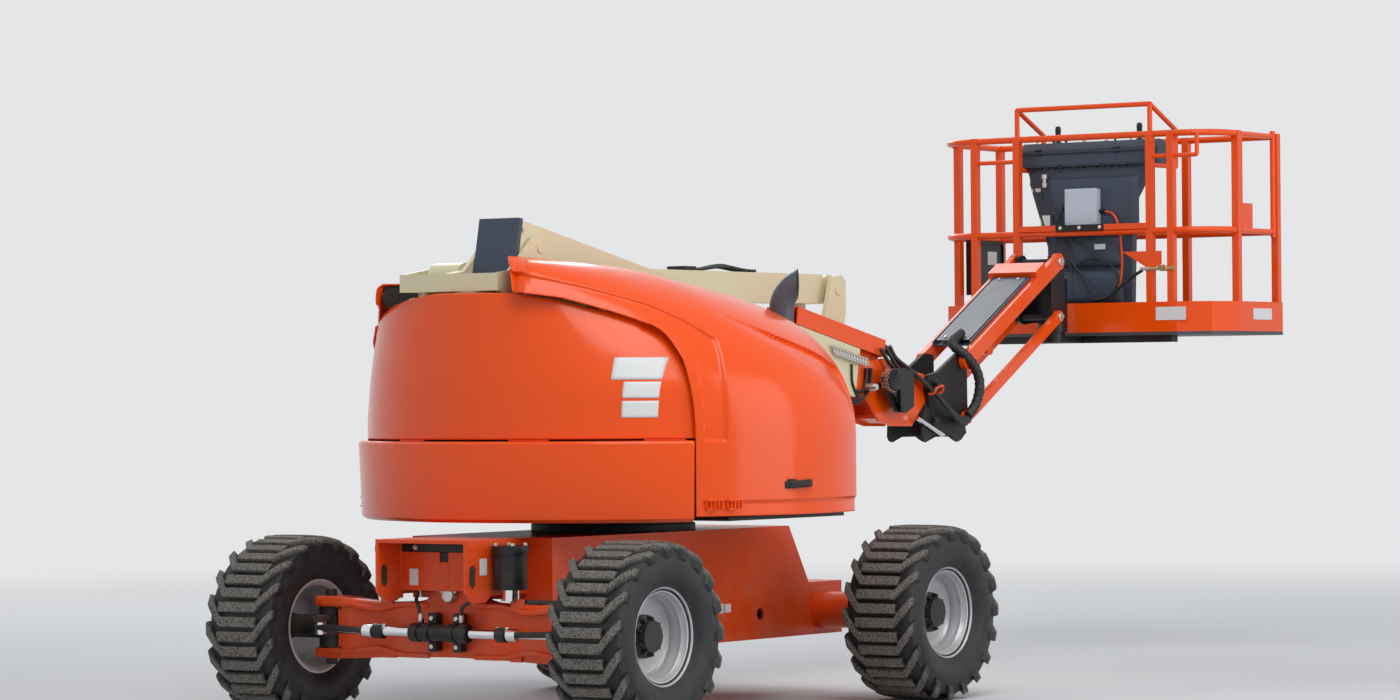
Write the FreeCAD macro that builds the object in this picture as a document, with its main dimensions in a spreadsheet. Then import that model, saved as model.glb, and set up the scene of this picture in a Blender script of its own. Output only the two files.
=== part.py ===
import FreeCAD, Part
import math
import os
import re
import Sketcher

# Articulating boom lift, in millimetres, +Z up. The booms point along +X over the drive axle.
# The origin lies on the ground at the middle of the machine's length and width.

# Driving dimensions: alias, value, what it measures
SIZES = [
    ("swing_x", -1739, "swing axis, along X from the origin"),
    ("axle_x", 1170, "half the wheelbase, from the swing axis"),
    ("hub_z", 419, "axle height"),
    ("tyre_radius", 419, "tyre over its lugs"),
    ("tread_radius", 396, "tyre between its lugs"),
    ("tyre_width", 390, "tyre over its shoulders"),
    ("track_y", 975, "tyre centre plane from the centre line"),
    ("lug_count", 38, "tread lugs around one tyre"),
    ("seat_radius", 200, "rim seat under the tyre"),
    ("flange_radius", 219, "rim flange"),
    ("rim_width", 300, "rim over its flanges"),
    ("rim_wall", 9, "rim sheet"),
    ("dish_y", 34, "outer face of the wheel dish, outward of the tyre centre"),
    ("dish_wall", 14, "wheel dish sheet"),
    ("hub_radius", 94, "hub cap"),
    ("hub_bore", 54, "radius of the hub's bearing bore"),
    ("hub_reach", 62, "hub cap, outward of the dish"),
    ("stud_circle", 74, "radius of the wheel stud circle"),
    ("kingpin_y", 750, "kingpin from the centre line"),
    ("kingpin_radius", 26, "kingpin"),
    ("yoke_low", 277, "lower face of the steer axle"),
    ("yoke_top", 561, "upper face of the steer axle"),
    ("yoke_reach", 812, "end of the yoke arms from the centre line"),
    ("yoke_mouth", 622, "back of the yoke's opening"),
    ("yoke_arm", 48, "thickness of a yoke arm"),
    ("axle_half", 62, "half the steer axle's depth along X"),
    ("steer_bar_x", 1312, "steering cylinder from the swing axis, towards the steer end"),
    ("steer_bar_z", 415, "height of the steering cylinder"),
    ("steer_barrel_radius", 37, "steering cylinder barrel"),
    ("steer_barrel_half", 150, "half the steering cylinder's length"),
    ("steer_rod_radius", 22, "steering cylinder rod"),
    ("steer_rod_half", 395, "half the steering rod's length"),
    ("frame_half", 400, "half the width of the main frame"),
    ("frame_top", 835, "top of the main frame"),
    ("frame_low", 555, "bottom of the main frame between the axles"),
    ("plate", 16, "frame plate"),
    ("box_low", 300, "bottom of the drive end box"),
    ("tie_x", 640, "tie-down hole of the drive end box from the swing axis"),
    ("tie_z", 420, "height of that hole"),
    ("tie_radius", 30, "radius of that hole"),
    ("horn_tie_z", 700, "height of the tie-down holes at the steer end"),
    ("horn_tie_radius", 24, "radius of those holes"),
    ("ring_radius", 370, "slewing ring"),
    ("turntable_low", 900, "underside of the turntable"),
    ("deck", 26, "turntable base plate"),
    ("gap", 0.3, "running gap between faces of different moving pieces"),
    ("weight_low", 903, "bottom of the counterweight"),
    ("weight_top", 1268, "top of the counterweight"),
    ("weight_radius", 1195, "counterweight"),
    ("weight_depth", 425, "counterweight from its face to its inside"),
    ("weight_half_angle", 54, "half the angle that the counterweight spans"),
    ("panel_step", 43, "foot of the rear panel inside the counterweight's face"),
    ("skin", 9, "hood and panel sheet"),
    ("hood_low", 926, "bottom of the hoods"),
    ("hood_waist", 1270, "height at which the hoods start to lean in"),
    ("hood_step", 15, "hoods inside the counterweight's face"),
    ("hood_front", 680, "front face of the hoods from the swing axis"),
    ("hood_back", 684, "seam between hoods and rear panel, behind the swing axis"),
    ("hood_nose", 1090, "rear end of the hood arms, behind the swing axis"),
    ("well_right", 170, "right side of the boom well from the centre line"),
    ("well_left", 600, "left side of the boom well from the centre line"),
    ("hinge_back", -400, "rear hinge of each hood from the swing axis"),
    ("hinge_ahead", 250, "front hinge of each hood from the swing axis"),
    ("hinge_inset", 30, "hinge pins outboard of the hoods' edges"),
    ("hinge_left_z", 1900, "height of the left hood's hinge line"),
    ("hinge_right_z", 2038, "height of the right hood's hinge line at its rear hinge"),
    ("hinge_right_fall", 9.26, "fall of the right hood's hinge line towards its front, in degrees"),
    ("hinge_pin", 8, "radius of the hood hinge pins"),
    ("stack_x", 585, "exhaust stack from the swing axis"),
    ("stack_y", 572, "exhaust stack to the right of the centre line"),
    ("tower_y", 290, "centre plane of the tower arms"),
    ("tower_half", 85, "half the width of a tower arm"),
    ("tower_height", 150, "height of a tower arm"),
    ("tower_wall", 8, "wall of a tower arm"),
    ("tower_plate", 20, "side plate of turntable foot, knuckle and upright"),
    ("tower_side_gap", 35, "tower arm to the inside of the right side plates"),
    ("tower_pin", 30, "radius of the tower's pins"),
    ("foot_x", -560, "tower foot pin from the swing axis"),
    ("foot_z", 1290, "height of the tower foot pin"),
    ("lower_arm", 2590, "length of the lower tower arm between pins"),
    ("upper_arm", 3030, "length of the upper tower arm between pins"),
    ("knuckle_step", 150, "upper pin ahead of the lower pin on the knuckle"),
    ("knuckle_rise", 720, "upper pin above the lower pin on the knuckle"),
    ("link_drop", 250, "timing link pins from the arm pins"),
    ("link_height", 50, "height of a timing link"),
    ("link_wall", 16, "thickness of a timing link"),
    ("boom_step", 110, "main boom pivot ahead of the upright's upper pin"),
    ("boom_rise", 142, "main boom pivot above the upright's upper pin"),
    ("boom_angle", -11.5, "slope of the main boom at rest"),
    ("boom_half", 110, "half the width of the main boom"),
    ("boom_over", 98, "main boom above its pivot"),
    ("boom_under", 152, "main boom below its pivot"),
    ("boom_wall", 8, "wall of the main boom"),
    ("boom_tail", 118, "main boom behind its pivot"),
    ("boom_length", 2760, "main boom ahead of its pivot"),
    ("cap_depth", 26, "end cap of the main boom"),
    ("cover_half", 96, "half the width of the hose cover over the booms"),
    ("cover_start", 2190, "rear end of the hose cover ahead of the main pivot"),
    ("cover_end", 3010, "front end of the hose cover"),
    ("cover_rise", 97, "top of the hose cover above the main boom"),
    ("cover_wall", 4, "sheet of the hose cover"),
    ("fly_half", 88, "half the width of the fly boom"),
    ("fly_height", 196, "height of the fly boom"),
    ("fly_wall", 7, "wall of the fly boom"),
    ("fly_start", 60, "rear end of the fly boom ahead of the main pivot"),
    ("stroke", 2200, "stroke of the fly boom"),
    ("level_x", 2660, "platform levelling pin from the swing axis"),
    ("level_z", 1520, "height of the platform levelling pin"),
    ("fly_drop", 90, "centre of the fly boom below the levelling pin"),
    ("jib_x", 2970, "jib arm pin from the swing axis"),
    ("jib_z", 1640, "height of the jib arm pin"),
    ("jib_length", 1101, "jib arm between pins"),
    ("jib_angle", 29.4, "slope of the jib at rest"),
    ("jib_drop", 300, "jib link pins below the jib arm pins"),
    ("jib_plate_in", 92, "inner face of the jib base and head plates"),
    ("jib_plate", 20, "thickness of the jib base and head plates"),
    ("jib_arm_in", 118, "inner face of the jib arms"),
    ("jib_arm_width", 32, "width of a jib arm"),
    ("jib_arm_height", 84, "height of a jib arm"),
    ("jib_link_height", 54, "height of a jib link"),
    ("jib_pin", 17, "radius of the jib pins"),
    ("tray_start", 110, "lower end of the tray between the jib arms"),
    ("tray_top", 56, "top of that tray above the jib arms' pins"),
    ("tower_base_x", -455, "base pin of the tower cylinder from the swing axis"),
    ("tower_base_z", 1026, "height of that pin"),
    ("tower_lug_x", 605, "tower cylinder lug along the lower arm"),
    ("tower_lug_z", 145, "tower cylinder lug below the arm's pins"),
    ("lift_base_x", -600, "base pin of the main lift cylinder from the swing axis"),
    ("lift_base_z", 1900, "height of that pin"),
    ("lift_lug_x", 700, "lift cylinder lug along the main boom"),
    ("lift_lug_z", 252, "lift cylinder lug below the main boom's pivot line"),
    ("jib_base_drop", 90, "base pin of the jib cylinder below the jib arm pin"),
    ("jib_base_step", -31, "base pin of the jib cylinder ahead of the jib arm pin"),
    ("jib_lug_x", 355, "jib cylinder lug along the jib arms"),
    ("jib_lug_z", 130, "jib cylinder lug below the jib arms' pins"),
    ("rotator_x", 4100, "platform rotation axis from the swing axis"),
    ("rotator_radius", 82, "rotator housing"),
    ("rotator_low", 1800, "bottom of the rotator"),
    ("rotator_top", 2090, "top of the rotator"),
    ("cage_front", 4300, "front of the platform from the swing axis"),
    ("cage_back", 5062, "back of the platform from the swing axis"),
    ("cage_half", 915, "half the width of the platform"),
    ("cage_corner", 250, "radius of the platform's front corners"),
    ("floor_z", 1800, "top of the platform floor"),
    ("floor_depth", 22, "thickness of the platform floor"),
    ("ledge", 3, "ledge round the floor plate, below its top"),
    ("toe_top", 1960, "top of the toe boards"),
    ("toe_wall", 4, "toe board sheet"),
    ("mid_rail_z", 2350, "mid rail"),
    ("top_rail_z", 2880, "top rail"),
    ("guard_z", 3060, "raised console guard"),
    ("console_z", 2712, "tubes that carry the console"),
    ("console_reach", 290, "length of those tubes"),
    ("guard_left", 350, "left post of the console guard from the centre line"),
    ("guard_right", 494, "right post of the console guard from the centre line"),
    ("guard_fall", 130, "fall of the guard's arms towards the platform"),
    ("grab_z", 2758, "height of the grab loops below the top rail"),
    ("flat_bar_z", 2378, "height of the flat bar between the guard posts"),
    ("panel_front", 4420, "control panel below the console, from the swing axis"),
    ("panel_depth", 46, "its thickness"),
    ("box_side", 198, "electrical box on the control panel"),
    ("tube", 18, "radius of the platform's rails"),
    ("post", 20, "half the side of a platform post"),
    ("guard_tube", 14, "radius of the console guard's tubes"),
    ("gate_front", 4576, "gate's latch post from the swing axis"),
]

doc = FreeCAD.newDocument("boom_lift")
sheet = doc.addObject("Spreadsheet::Sheet", "Sizes")
V = {}
for row, (alias, value, words) in enumerate(SIZES, start=1):
    sheet.set("A%d" % row, words)
    sheet.set("B%d" % row, str(value))
    sheet.setAlias("B%d" % row, alias)
    V[alias] = value
doc.recompute()

PARTS = []
CUTS = []
# Places that follow from the sizes above
WEIGHT_BORE = "(weight_radius - weight_depth)"
PANEL_RADIUS = "(weight_radius - panel_step)"
HOOD_RADIUS = "(weight_radius - hood_step)"
UPRIGHT_X = "(foot_x + lower_arm + knuckle_step - upper_arm)"
UPRIGHT_Z = "(foot_z + knuckle_rise)"
BOOM_X = "(%s + boom_step)" % UPRIGHT_X
BOOM_Z = "(%s + boom_rise)" % UPRIGHT_Z
PLANES = {"XY": "XY_Plane", "XZ": "XZ_Plane", "YZ": "YZ_Plane"}
TURN = {"X": ((0, 1, 0), 90), "Y": ((1, 0, 0), -90), "Z": ((0, 0, 1), 0)}


def bound(text):
    """Words of the size sheet become references to its cells."""
    def cell(match):
        word = match.group(0)
        return "Sizes." + word if word in V else word
    return re.sub(r"[A-Za-z_]\w*", cell, str(text))


def tie(item, prop, text):
    item.setExpression(prop, bound(text))


def place(item, at=("0", "0", "0"), pitch=None):
    """Put a piece at a point; pitch lifts its +X end, in degrees."""
    for letter, text in zip("xyz", at):
        tie(item, "Placement.Base." + letter, text)
    if pitch is not None:
        item.Placement.Rotation = FreeCAD.Rotation(FreeCAD.Vector(0, -1, 0), 10)
        tie(item, "Placement.Rotation.Angle", pitch)
    return item


def keep(item, label):
    """Name a finished sub-part."""
    item.Label = label
    PARTS.append(item)
    return item


# Part primitives

def box(size, at):
    """Box from a corner: size and corner as three expressions."""
    item = doc.addObject("Part::Box", "Block")
    for prop, text in zip(("Length", "Width", "Height"), size):
        tie(item, prop, text)
    return place(item, at)


def rod(radius, length, at, axis):
    """Cylinder that starts at a point and runs along +X, +Y or +Z."""
    item = doc.addObject("Part::Cylinder", "Rod")
    tie(item, "Radius", radius)
    tie(item, "Height", length)
    turn, angle = TURN[axis]
    item.Placement.Rotation = FreeCAD.Rotation(FreeCAD.Vector(*turn), angle)
    return place(item, at)


def leaning(radius, start, end, y):
    """Tube between two (x, z) points of a lengthwise plane."""
    run, rise = "(%s - (%s))" % (end[0], start[0]), "(%s - (%s))" % (end[1], start[1])
    item = rod(radius, "sqrt(%s ^ 2 + %s ^ 2)" % (run, rise), ("0", "0", "0"), "Z")
    return place(item, (start[0], y, start[1]), "atan2(%s; %s) - 90deg" % (rise, run))


def cone(radius_low, radius_top, length, at, axis):
    """Taper that starts at a point and runs along +X, +Y or +Z."""
    item = doc.addObject("Part::Cone", "Taper")
    tie(item, "Radius1", radius_low)
    tie(item, "Radius2", radius_top)
    tie(item, "Height", length)
    turn, angle = TURN[axis]
    item.Placement.Rotation = FreeCAD.Rotation(FreeCAD.Vector(*turn), angle)
    return place(item, at)


def fuse(items):
    item = doc.addObject("Part::MultiFuse", "Union")
    item.Shapes = items
    item.Refine = True
    return item


def cut(base, tool):
    item = doc.addObject("Part::Cut", "Cut")
    item.Base = base
    item.Tool = tool
    return item


def common(items):
    item = doc.addObject("Part::MultiCommon", "Common")
    item.Shapes = items
    return item


def new_body(name):
    return doc.addObject("PartDesign::Body", name)


def sketch(body, plane, loops, offset):
    """Closed loops on an origin plane: lists of points, or (u, v, radius) circles."""
    item = body.newObject("Sketcher::SketchObject", "Profile")
    for feature in body.Origin.OriginFeatures:
        if feature.Role == PLANES[plane]:
            item.AttachmentSupport = [(feature, "")]
    item.MapMode = "FlatFace"
    tie(item, "AttachmentOffset.Base.z", offset)
    bounds = []
    for loop in loops:
        if isinstance(loop, tuple):
            here = item.addGeometry(Part.Circle(FreeCAD.Vector(1, 1, 0), FreeCAD.Vector(0, 0, 1), 5))
            bounds += [("DistanceX", here, 3, loop[0]), ("DistanceY", here, 3, loop[1])]
            number = item.addConstraint(Sketcher.Constraint("Radius", here, 5))
            tie(item, "Constraints[%d]" % number, loop[2])
            continue
        count = len(loop)
        ring = [FreeCAD.Vector(50 * math.cos(2 * math.pi * i / count), 50 * math.sin(2 * math.pi * i / count), 0)
                for i in range(count)]
        first = len(item.Geometry)
        item.addGeometry([Part.LineSegment(ring[i], ring[(i + 1) % count]) for i in range(count)])
        item.addConstraint([Sketcher.Constraint("Coincident", first + i, 2, first + (i + 1) % count, 1)
                            for i in range(count)])
        for i, (u, v) in enumerate(loop):
            bounds += [("DistanceX", first + i, 1, u), ("DistanceY", first + i, 1, v)]
    for kind, here, spot, text in bounds:
        number = item.addConstraint(Sketcher.Constraint(kind, -1, 1, here, spot, 1.0))
        tie(item, "Constraints[%d]" % number, text)
    return item


def pad(body, plane, loops, low, high):
    """Material between two levels along the plane's own axis."""
    start = "-(%s)" % high if plane == "XZ" else low
    item = body.newObject("PartDesign::Pad", "Pad")
    item.Profile = sketch(body, plane, loops, start)
    tie(item, "Length", "(%s) - (%s)" % (high, low))
    return item


def pocket(body, plane, loops, low, high):
    """Cut between two levels along the plane's own axis."""
    start = "-(%s)" % high if plane == "XZ" else low
    item = body.newObject("PartDesign::Pocket", "Pocket")
    item.Profile = sketch(body, plane, loops, start)
    item.Reversed = True
    tie(item, "Length", "(%s) - (%s)" % (high, low))
    CUTS.append(item)
    return item


def loft(body, plane, stations):
    """Straight-sided loft through one loop at each level."""
    sketches = [sketch(body, plane, [loop], level) for level, loop in stations]
    item = body.newObject("PartDesign::AdditiveLoft", "Loft")
    item.Profile = sketches[0]
    item.Sections = sketches[1:]
    item.Ruled = True
    return item


def revolve(body, plane, loops, axis, angle="360"):
    item = body.newObject("PartDesign::Revolution", "Revolution")
    profile = sketch(body, plane, loops, "0")
    item.Profile = profile
    item.ReferenceAxis = (profile, [axis])
    tie(item, "Angle", angle)
    return item


def rectangle(u_low, u_high, v_low, v_high):
    return [(u_low, v_low), (u_high, v_low), (u_high, v_high), (u_low, v_high)]


def clevis(body, x, z, seat, middle, inside, wall, radius, pin=None):
    """Pair of ears from a seat level, with a pin between them where one is given."""
    ear = [("%s - %s" % (x, radius), seat), ("%s + %s" % (x, radius), seat),
           ("%s + %s" % (x, radius), z), ("%s - %s" % (x, radius), z)]
    for side in ("-1", "1"):
        a = "%s + %s * (%s + %s / 2)" % (middle, side, inside, wall)
        low, high = "%s - %s / 2" % (a, wall), "%s + %s / 2" % (a, wall)
        pad(body, "XZ", [ear], low, high)
        pad(body, "XZ", [(x, z, radius)], low, high)
    if pin:
        pad(body, "XZ", [(x, z, pin)], "%s - %s - %s - 8" % (middle, inside, wall), "%s + %s + %s + 8" % (middle, inside, wall))


def cylinder_pair(name, base, eye, side, barrel, bar, pin, closed, slide):
    """Hydraulic cylinder as a barrel and a rod.

    base and eye are (x, z) of the end pins at rest and side its centre plane;
    barrel, bar and pin are radii; closed is where the barrel ends and slide where
    the rod starts inside it, both from the base pin.
    """
    run = "((%s) - (%s))" % (eye[0], base[0])
    rise = "((%s) - (%s))" % (eye[1], base[1])
    slope = "atan2(%s; %s)" % (rise, run)
    reach = "sqrt(%s ^ 2 + %s ^ 2)" % (run, rise)
    eye_radius = "(%s + 11)" % pin
    tube = new_body(name + "_barrel_body")
    pad(tube, "YZ", [("0", "0", barrel)], "%s + 16" % eye_radius, closed)
    pad(tube, "YZ", [rectangle("-22", "22", "-22", "22")], "0", "%s + 17" % eye_radius)
    pad(tube, "XZ", [("0", "0", eye_radius)], "-(%s) * 0.8" % barrel, "(%s) * 0.8" % barrel)
    pocket(tube, "XZ", [("0", "0", "%s + gap" % pin)], "-(%s)" % barrel, barrel)
    pocket(tube, "YZ", [("0", "0", "%s + gap" % bar)], "%s + 34" % eye_radius, "(%s) + 1" % closed)
    place(tube, (base[0], side, base[1]), slope)
    keep(tube, name + "_barrel")
    ram = new_body(name + "_rod_body")
    pad(ram, "YZ", [("0", "0", bar)], slide, "%s - %s + 4" % (reach, eye_radius))
    pad(ram, "XZ", [(reach, "0", eye_radius)], "-(%s) * 0.7" % barrel, "(%s) * 0.7" % barrel)
    place(ram, (base[0], side, base[1]), slope)
    keep(ram, name + "_rod")


def turned(pivot, lug, slope):
    """World (x, z) of a lug that is given along and below a boom of that slope."""
    angle = "(%s * 1deg)" % slope
    return ("%s + %s * cos%s + %s * sin%s" % (pivot[0], lug[0], angle, lug[1], angle),
            "%s + %s * sin%s - %s * cos%s" % (pivot[1], lug[0], angle, lug[1], angle))


def chassis():
    """Main frame, drive end box, steer axle, drive axle and their cylinders."""
    frame = new_body("frame_body")
    outline = [("-1000", "frame_top"), ("890", "frame_top"), ("1060", "frame_low"), ("1350", "frame_low"),
               ("1350", "box_low"), ("200", "box_low"), ("120", "frame_low"), ("-1000", "frame_low")]
    pad(frame, "XZ", [outline], "-frame_half", "frame_half")
    inside = [("-1001", "frame_top - plate"), ("890 - plate", "frame_top - plate"),
              ("1060 - plate * 2", "frame_low - plate"), ("200 + plate", "frame_low - plate"),
              ("120 + plate", "frame_low + plate"), ("-1001", "frame_low + plate")]
    pocket(frame, "XZ", [inside], "plate - frame_half", "frame_half - plate")
    pocket(frame, "XZ", [rectangle("200 + plate", "1350 - plate", "box_low + plate", "frame_low - 2 * plate")],
           "plate - frame_half", "frame_half - plate")
    pocket(frame, "XZ", [("tie_x", "tie_z", "tie_radius")], "-frame_half - 1", "frame_half + 1")
    pocket(frame, "XZ", [("axle_x", "hub_z", "88 + gap")], "-frame_half - 1", "frame_half + 1")
    for side in ("-1", "1"):
        low = "%s * 250 - plate / 2" % side
        high = "%s * 250 + plate / 2" % side
        horn = [("-1010", "frame_top"), ("-1452", "frame_top"), ("-1452", "600"), ("-1400", "frame_low"),
                ("-1320", "frame_low"), ("-1270", "585"), ("-1010", "585")]
        pad(frame, "XZ", [horn], low, high)
        pocket(frame, "XZ", [("-1405", "horn_tie_z", "horn_tie_radius")], low + " - 1", high + " + 1")
    pad(frame, "YZ", [rectangle("-frame_half", "frame_half", "frame_low", "frame_top")], "-1010", "-1010 + plate")
    pad(frame, "XY", [rectangle("-1452", "-1010", "-250", "250")], "frame_top - plate", "frame_top")
    place(frame, ("swing_x", "0", "0"))
    keep(frame, "chassis_frame")

    ring = new_body("ring_body")
    pad(ring, "XY", [("0", "0", "ring_radius")], "frame_top", "turntable_low - gap")
    pocket(ring, "XY", [("0", "0", "ring_radius - 70")], "frame_top", "turntable_low")
    place(ring, ("swing_x", "0", "0"))
    keep(ring, "slewing_ring")

    axle = new_body("steer_axle_body")
    yoke = []
    for side, order in (("1", 1), ("-1", -1)):
        half = [("yoke_reach", "yoke_low"), ("yoke_reach", "yoke_low + yoke_arm"),
                ("yoke_mouth", "yoke_low + yoke_arm"), ("yoke_mouth", "yoke_top - yoke_arm"),
                ("yoke_reach", "yoke_top - yoke_arm"), ("yoke_reach", "yoke_top")]
        yoke += [("%s * (%s)" % (side, u), v) for u, v in half[::order]]
    pad(axle, "YZ", [yoke], "-axle_half", "axle_half")
    pad(axle, "YZ", [rectangle("-80", "80", "yoke_top", "frame_low + 60")], "-axle_half", "axle_half")
    pocket(axle, "XY", [("0", "kingpin_y", "kingpin_radius + gap"), ("0", "-kingpin_y", "kingpin_radius + gap")],
           "yoke_low - 1", "yoke_top + 1")
    place(axle, ("swing_x - axle_x", "0", "0"))
    keep(axle, "steer_axle")

    drive = new_body("drive_axle_body")
    pad(drive, "XZ", [("0", "hub_z", "88")], "-700", "700")
    pad(drive, "XZ", [("0", "hub_z", "118")], "-790", "-700")
    pad(drive, "XZ", [("0", "hub_z", "118")], "700", "790")
    spindle = "track_y + dish_y + 30 - gap"
    pad(drive, "XZ", [("0", "hub_z", "hub_bore - gap")], "-(%s)" % spindle, spindle)
    low, high = "box_low + plate + gap", "frame_low - 2 * plate - gap"
    pad(drive, "YZ", [[("-170", low), ("170", low), ("230", "370"), ("230", high), ("-230", high), ("-230", "370")]],
        "-150", "150")
    place(drive, ("swing_x + axle_x", "0", "0"))
    keep(drive, "drive_axle")

    lock = []
    lock_y = "250 + plate / 2 + 75 + gap"
    for side in ("-1", "1"):
        lock += [rod("75", "190", ("0", side + " * (%s)" % lock_y, "612"), "Z"),
                 rod("40", "51 - gap", ("0", side + " * (%s)" % lock_y, "yoke_top + gap"), "Z")]
    pair = fuse(lock)
    place(pair, ("swing_x - axle_x - 60", "0", "0"))
    keep(pair, "axle_lock_cylinders")

    barrel = new_body("steer_barrel_body")
    pad(barrel, "XZ", [("0", "0", "steer_barrel_radius")], "-steer_barrel_half", "steer_barrel_half")
    pad(barrel, "XZ", [rectangle("0", "steer_bar_x - axle_x - axle_half", "-28", "28")], "-90", "-50")
    pad(barrel, "XZ", [rectangle("0", "steer_bar_x - axle_x - axle_half", "-28", "28")], "50", "90")
    pocket(barrel, "XZ", [("0", "0", "steer_rod_radius + gap")], "-steer_barrel_half - 1", "steer_barrel_half + 1")
    place(barrel, ("swing_x - steer_bar_x", "0", "steer_bar_z"))
    keep(barrel, "steering_cylinder")


def steering():
    """Steering rod with its tie rods, and the knuckles."""
    bar = new_body("steer_rod_body")
    pad(bar, "XZ", [("0", "0", "steer_rod_radius")], "-steer_rod_half", "steer_rod_half")
    for low, high in (("-steer_rod_half - 40", "10 - steer_rod_half"), ("steer_rod_half - 10", "steer_rod_half + 40")):
        pad(bar, "XZ", [("0", "0", "30")], low, high)
    for low, high in (("-kingpin_y + 52", "-steer_rod_half - 30"), ("steer_rod_half + 30", "kingpin_y - 52")):
        pad(bar, "XZ", [("0", "0", "17")], low, high)
    for y in ("52 - kingpin_y", "kingpin_y - 52"):
        pad(bar, "XY", [("0", y, "24")], "-24", "32 - gap")
    place(bar, ("swing_x - steer_bar_x", "0", "steer_bar_z"))
    keep(bar, "steering_rod")
    for name, side in (("right", "-1"), ("left", "1")):
        knuckle = new_body("knuckle_body")
        low, high = "yoke_low + yoke_arm + gap", "yoke_top - yoke_arm - gap"
        pad(knuckle, "XY", [("0", "0", "58")], low, high)
        pad(knuckle, "XY", [("0", "0", "kingpin_radius")], "yoke_low - 30", "yoke_top + 30")
        reach = "track_y + dish_y + 30 - kingpin_y - gap"
        if side == "-1":
            pad(knuckle, "XZ", [("0", "hub_z", "hub_bore - gap")], "-(%s)" % reach, "0")
        else:
            pad(knuckle, "XZ", [("0", "hub_z", "hub_bore - gap")], "0", reach)
        arm = [("0", "-32"), ("0", "32"), ("axle_x - steer_bar_x - 26", "%s * -52 + 24" % side),
               ("axle_x - steer_bar_x - 26", "%s * -52 - 24" % side)]
        pad(knuckle, "XY", [arm], "steer_bar_z + 32", "steer_bar_z + 62")
        place(knuckle, ("swing_x - axle_x", side + " * kingpin_y", "0"))
        keep(knuckle, "knuckle_" + name)


def tyre_shape():
    """One tyre on the Y axis, with alternate lugs that run out to a shoulder."""
    count = V["lug_count"]
    step = 2 * math.pi / count
    half = V["tyre_width"] / 2
    # Cross-section: distance from the middle plane, radius
    section = [(V["rim_width"] / 2 - 12, V["seat_radius"] + 0.3), (V["rim_width"] / 2 - 12, V["flange_radius"] + 4),
               (half - 4, V["tread_radius"] - 96), (half - 6, V["tread_radius"] - 30), (half - 30, V["tread_radius"])]
    section = [(-u, r) for u, r in section] + [(u, r) for u, r in reversed(section)]

    def spot(u, radius, angle):
        return FreeCAD.Vector(radius * math.sin(angle), u, -radius * math.cos(angle))

    def solid(rings):
        """Closed solid from rings of points, each joined to the next."""
        faces = []
        for ring, following in zip(rings, rings[1:] + rings[:1]):
            for i in range(len(ring)):
                j = (i + 1) % len(ring)
                faces.append(Part.Face(Part.makePolygon([ring[i], ring[j], following[j], following[i], ring[i]])))
        return Part.Solid(Part.makeShell(faces))

    flat = 1 / math.cos(step / 2)
    carcass = solid([[spot(u, r * flat, step * (i + 0.5)) for i in range(count)] for u, r in section])
    lugs = []
    for i in range(count):
        side = 1 if i % 2 else -1
        angle = step * i
        depth = V["tread_radius"] - 12
        top = V["tyre_radius"]
        # Plan of a lug's bar and wing: distance from the middle plane, angle in steps
        bar = [(-side * 108, -0.33), (side * 104, -0.33), (side * (half - 3), 1.15), (side * (half - 3), 1.85),
               (side * 104, 0.33), (-side * 108, 0.33)]
        low = [spot(u, depth - (26 if abs(u) > 150 else 0), angle + step * a) for u, a in bar]
        high = [spot(u, top - (14 if abs(u) > 150 else 0), angle + step * a) for u, a in bar]
        lugs.append((low, high))
    return carcass, lugs


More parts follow.
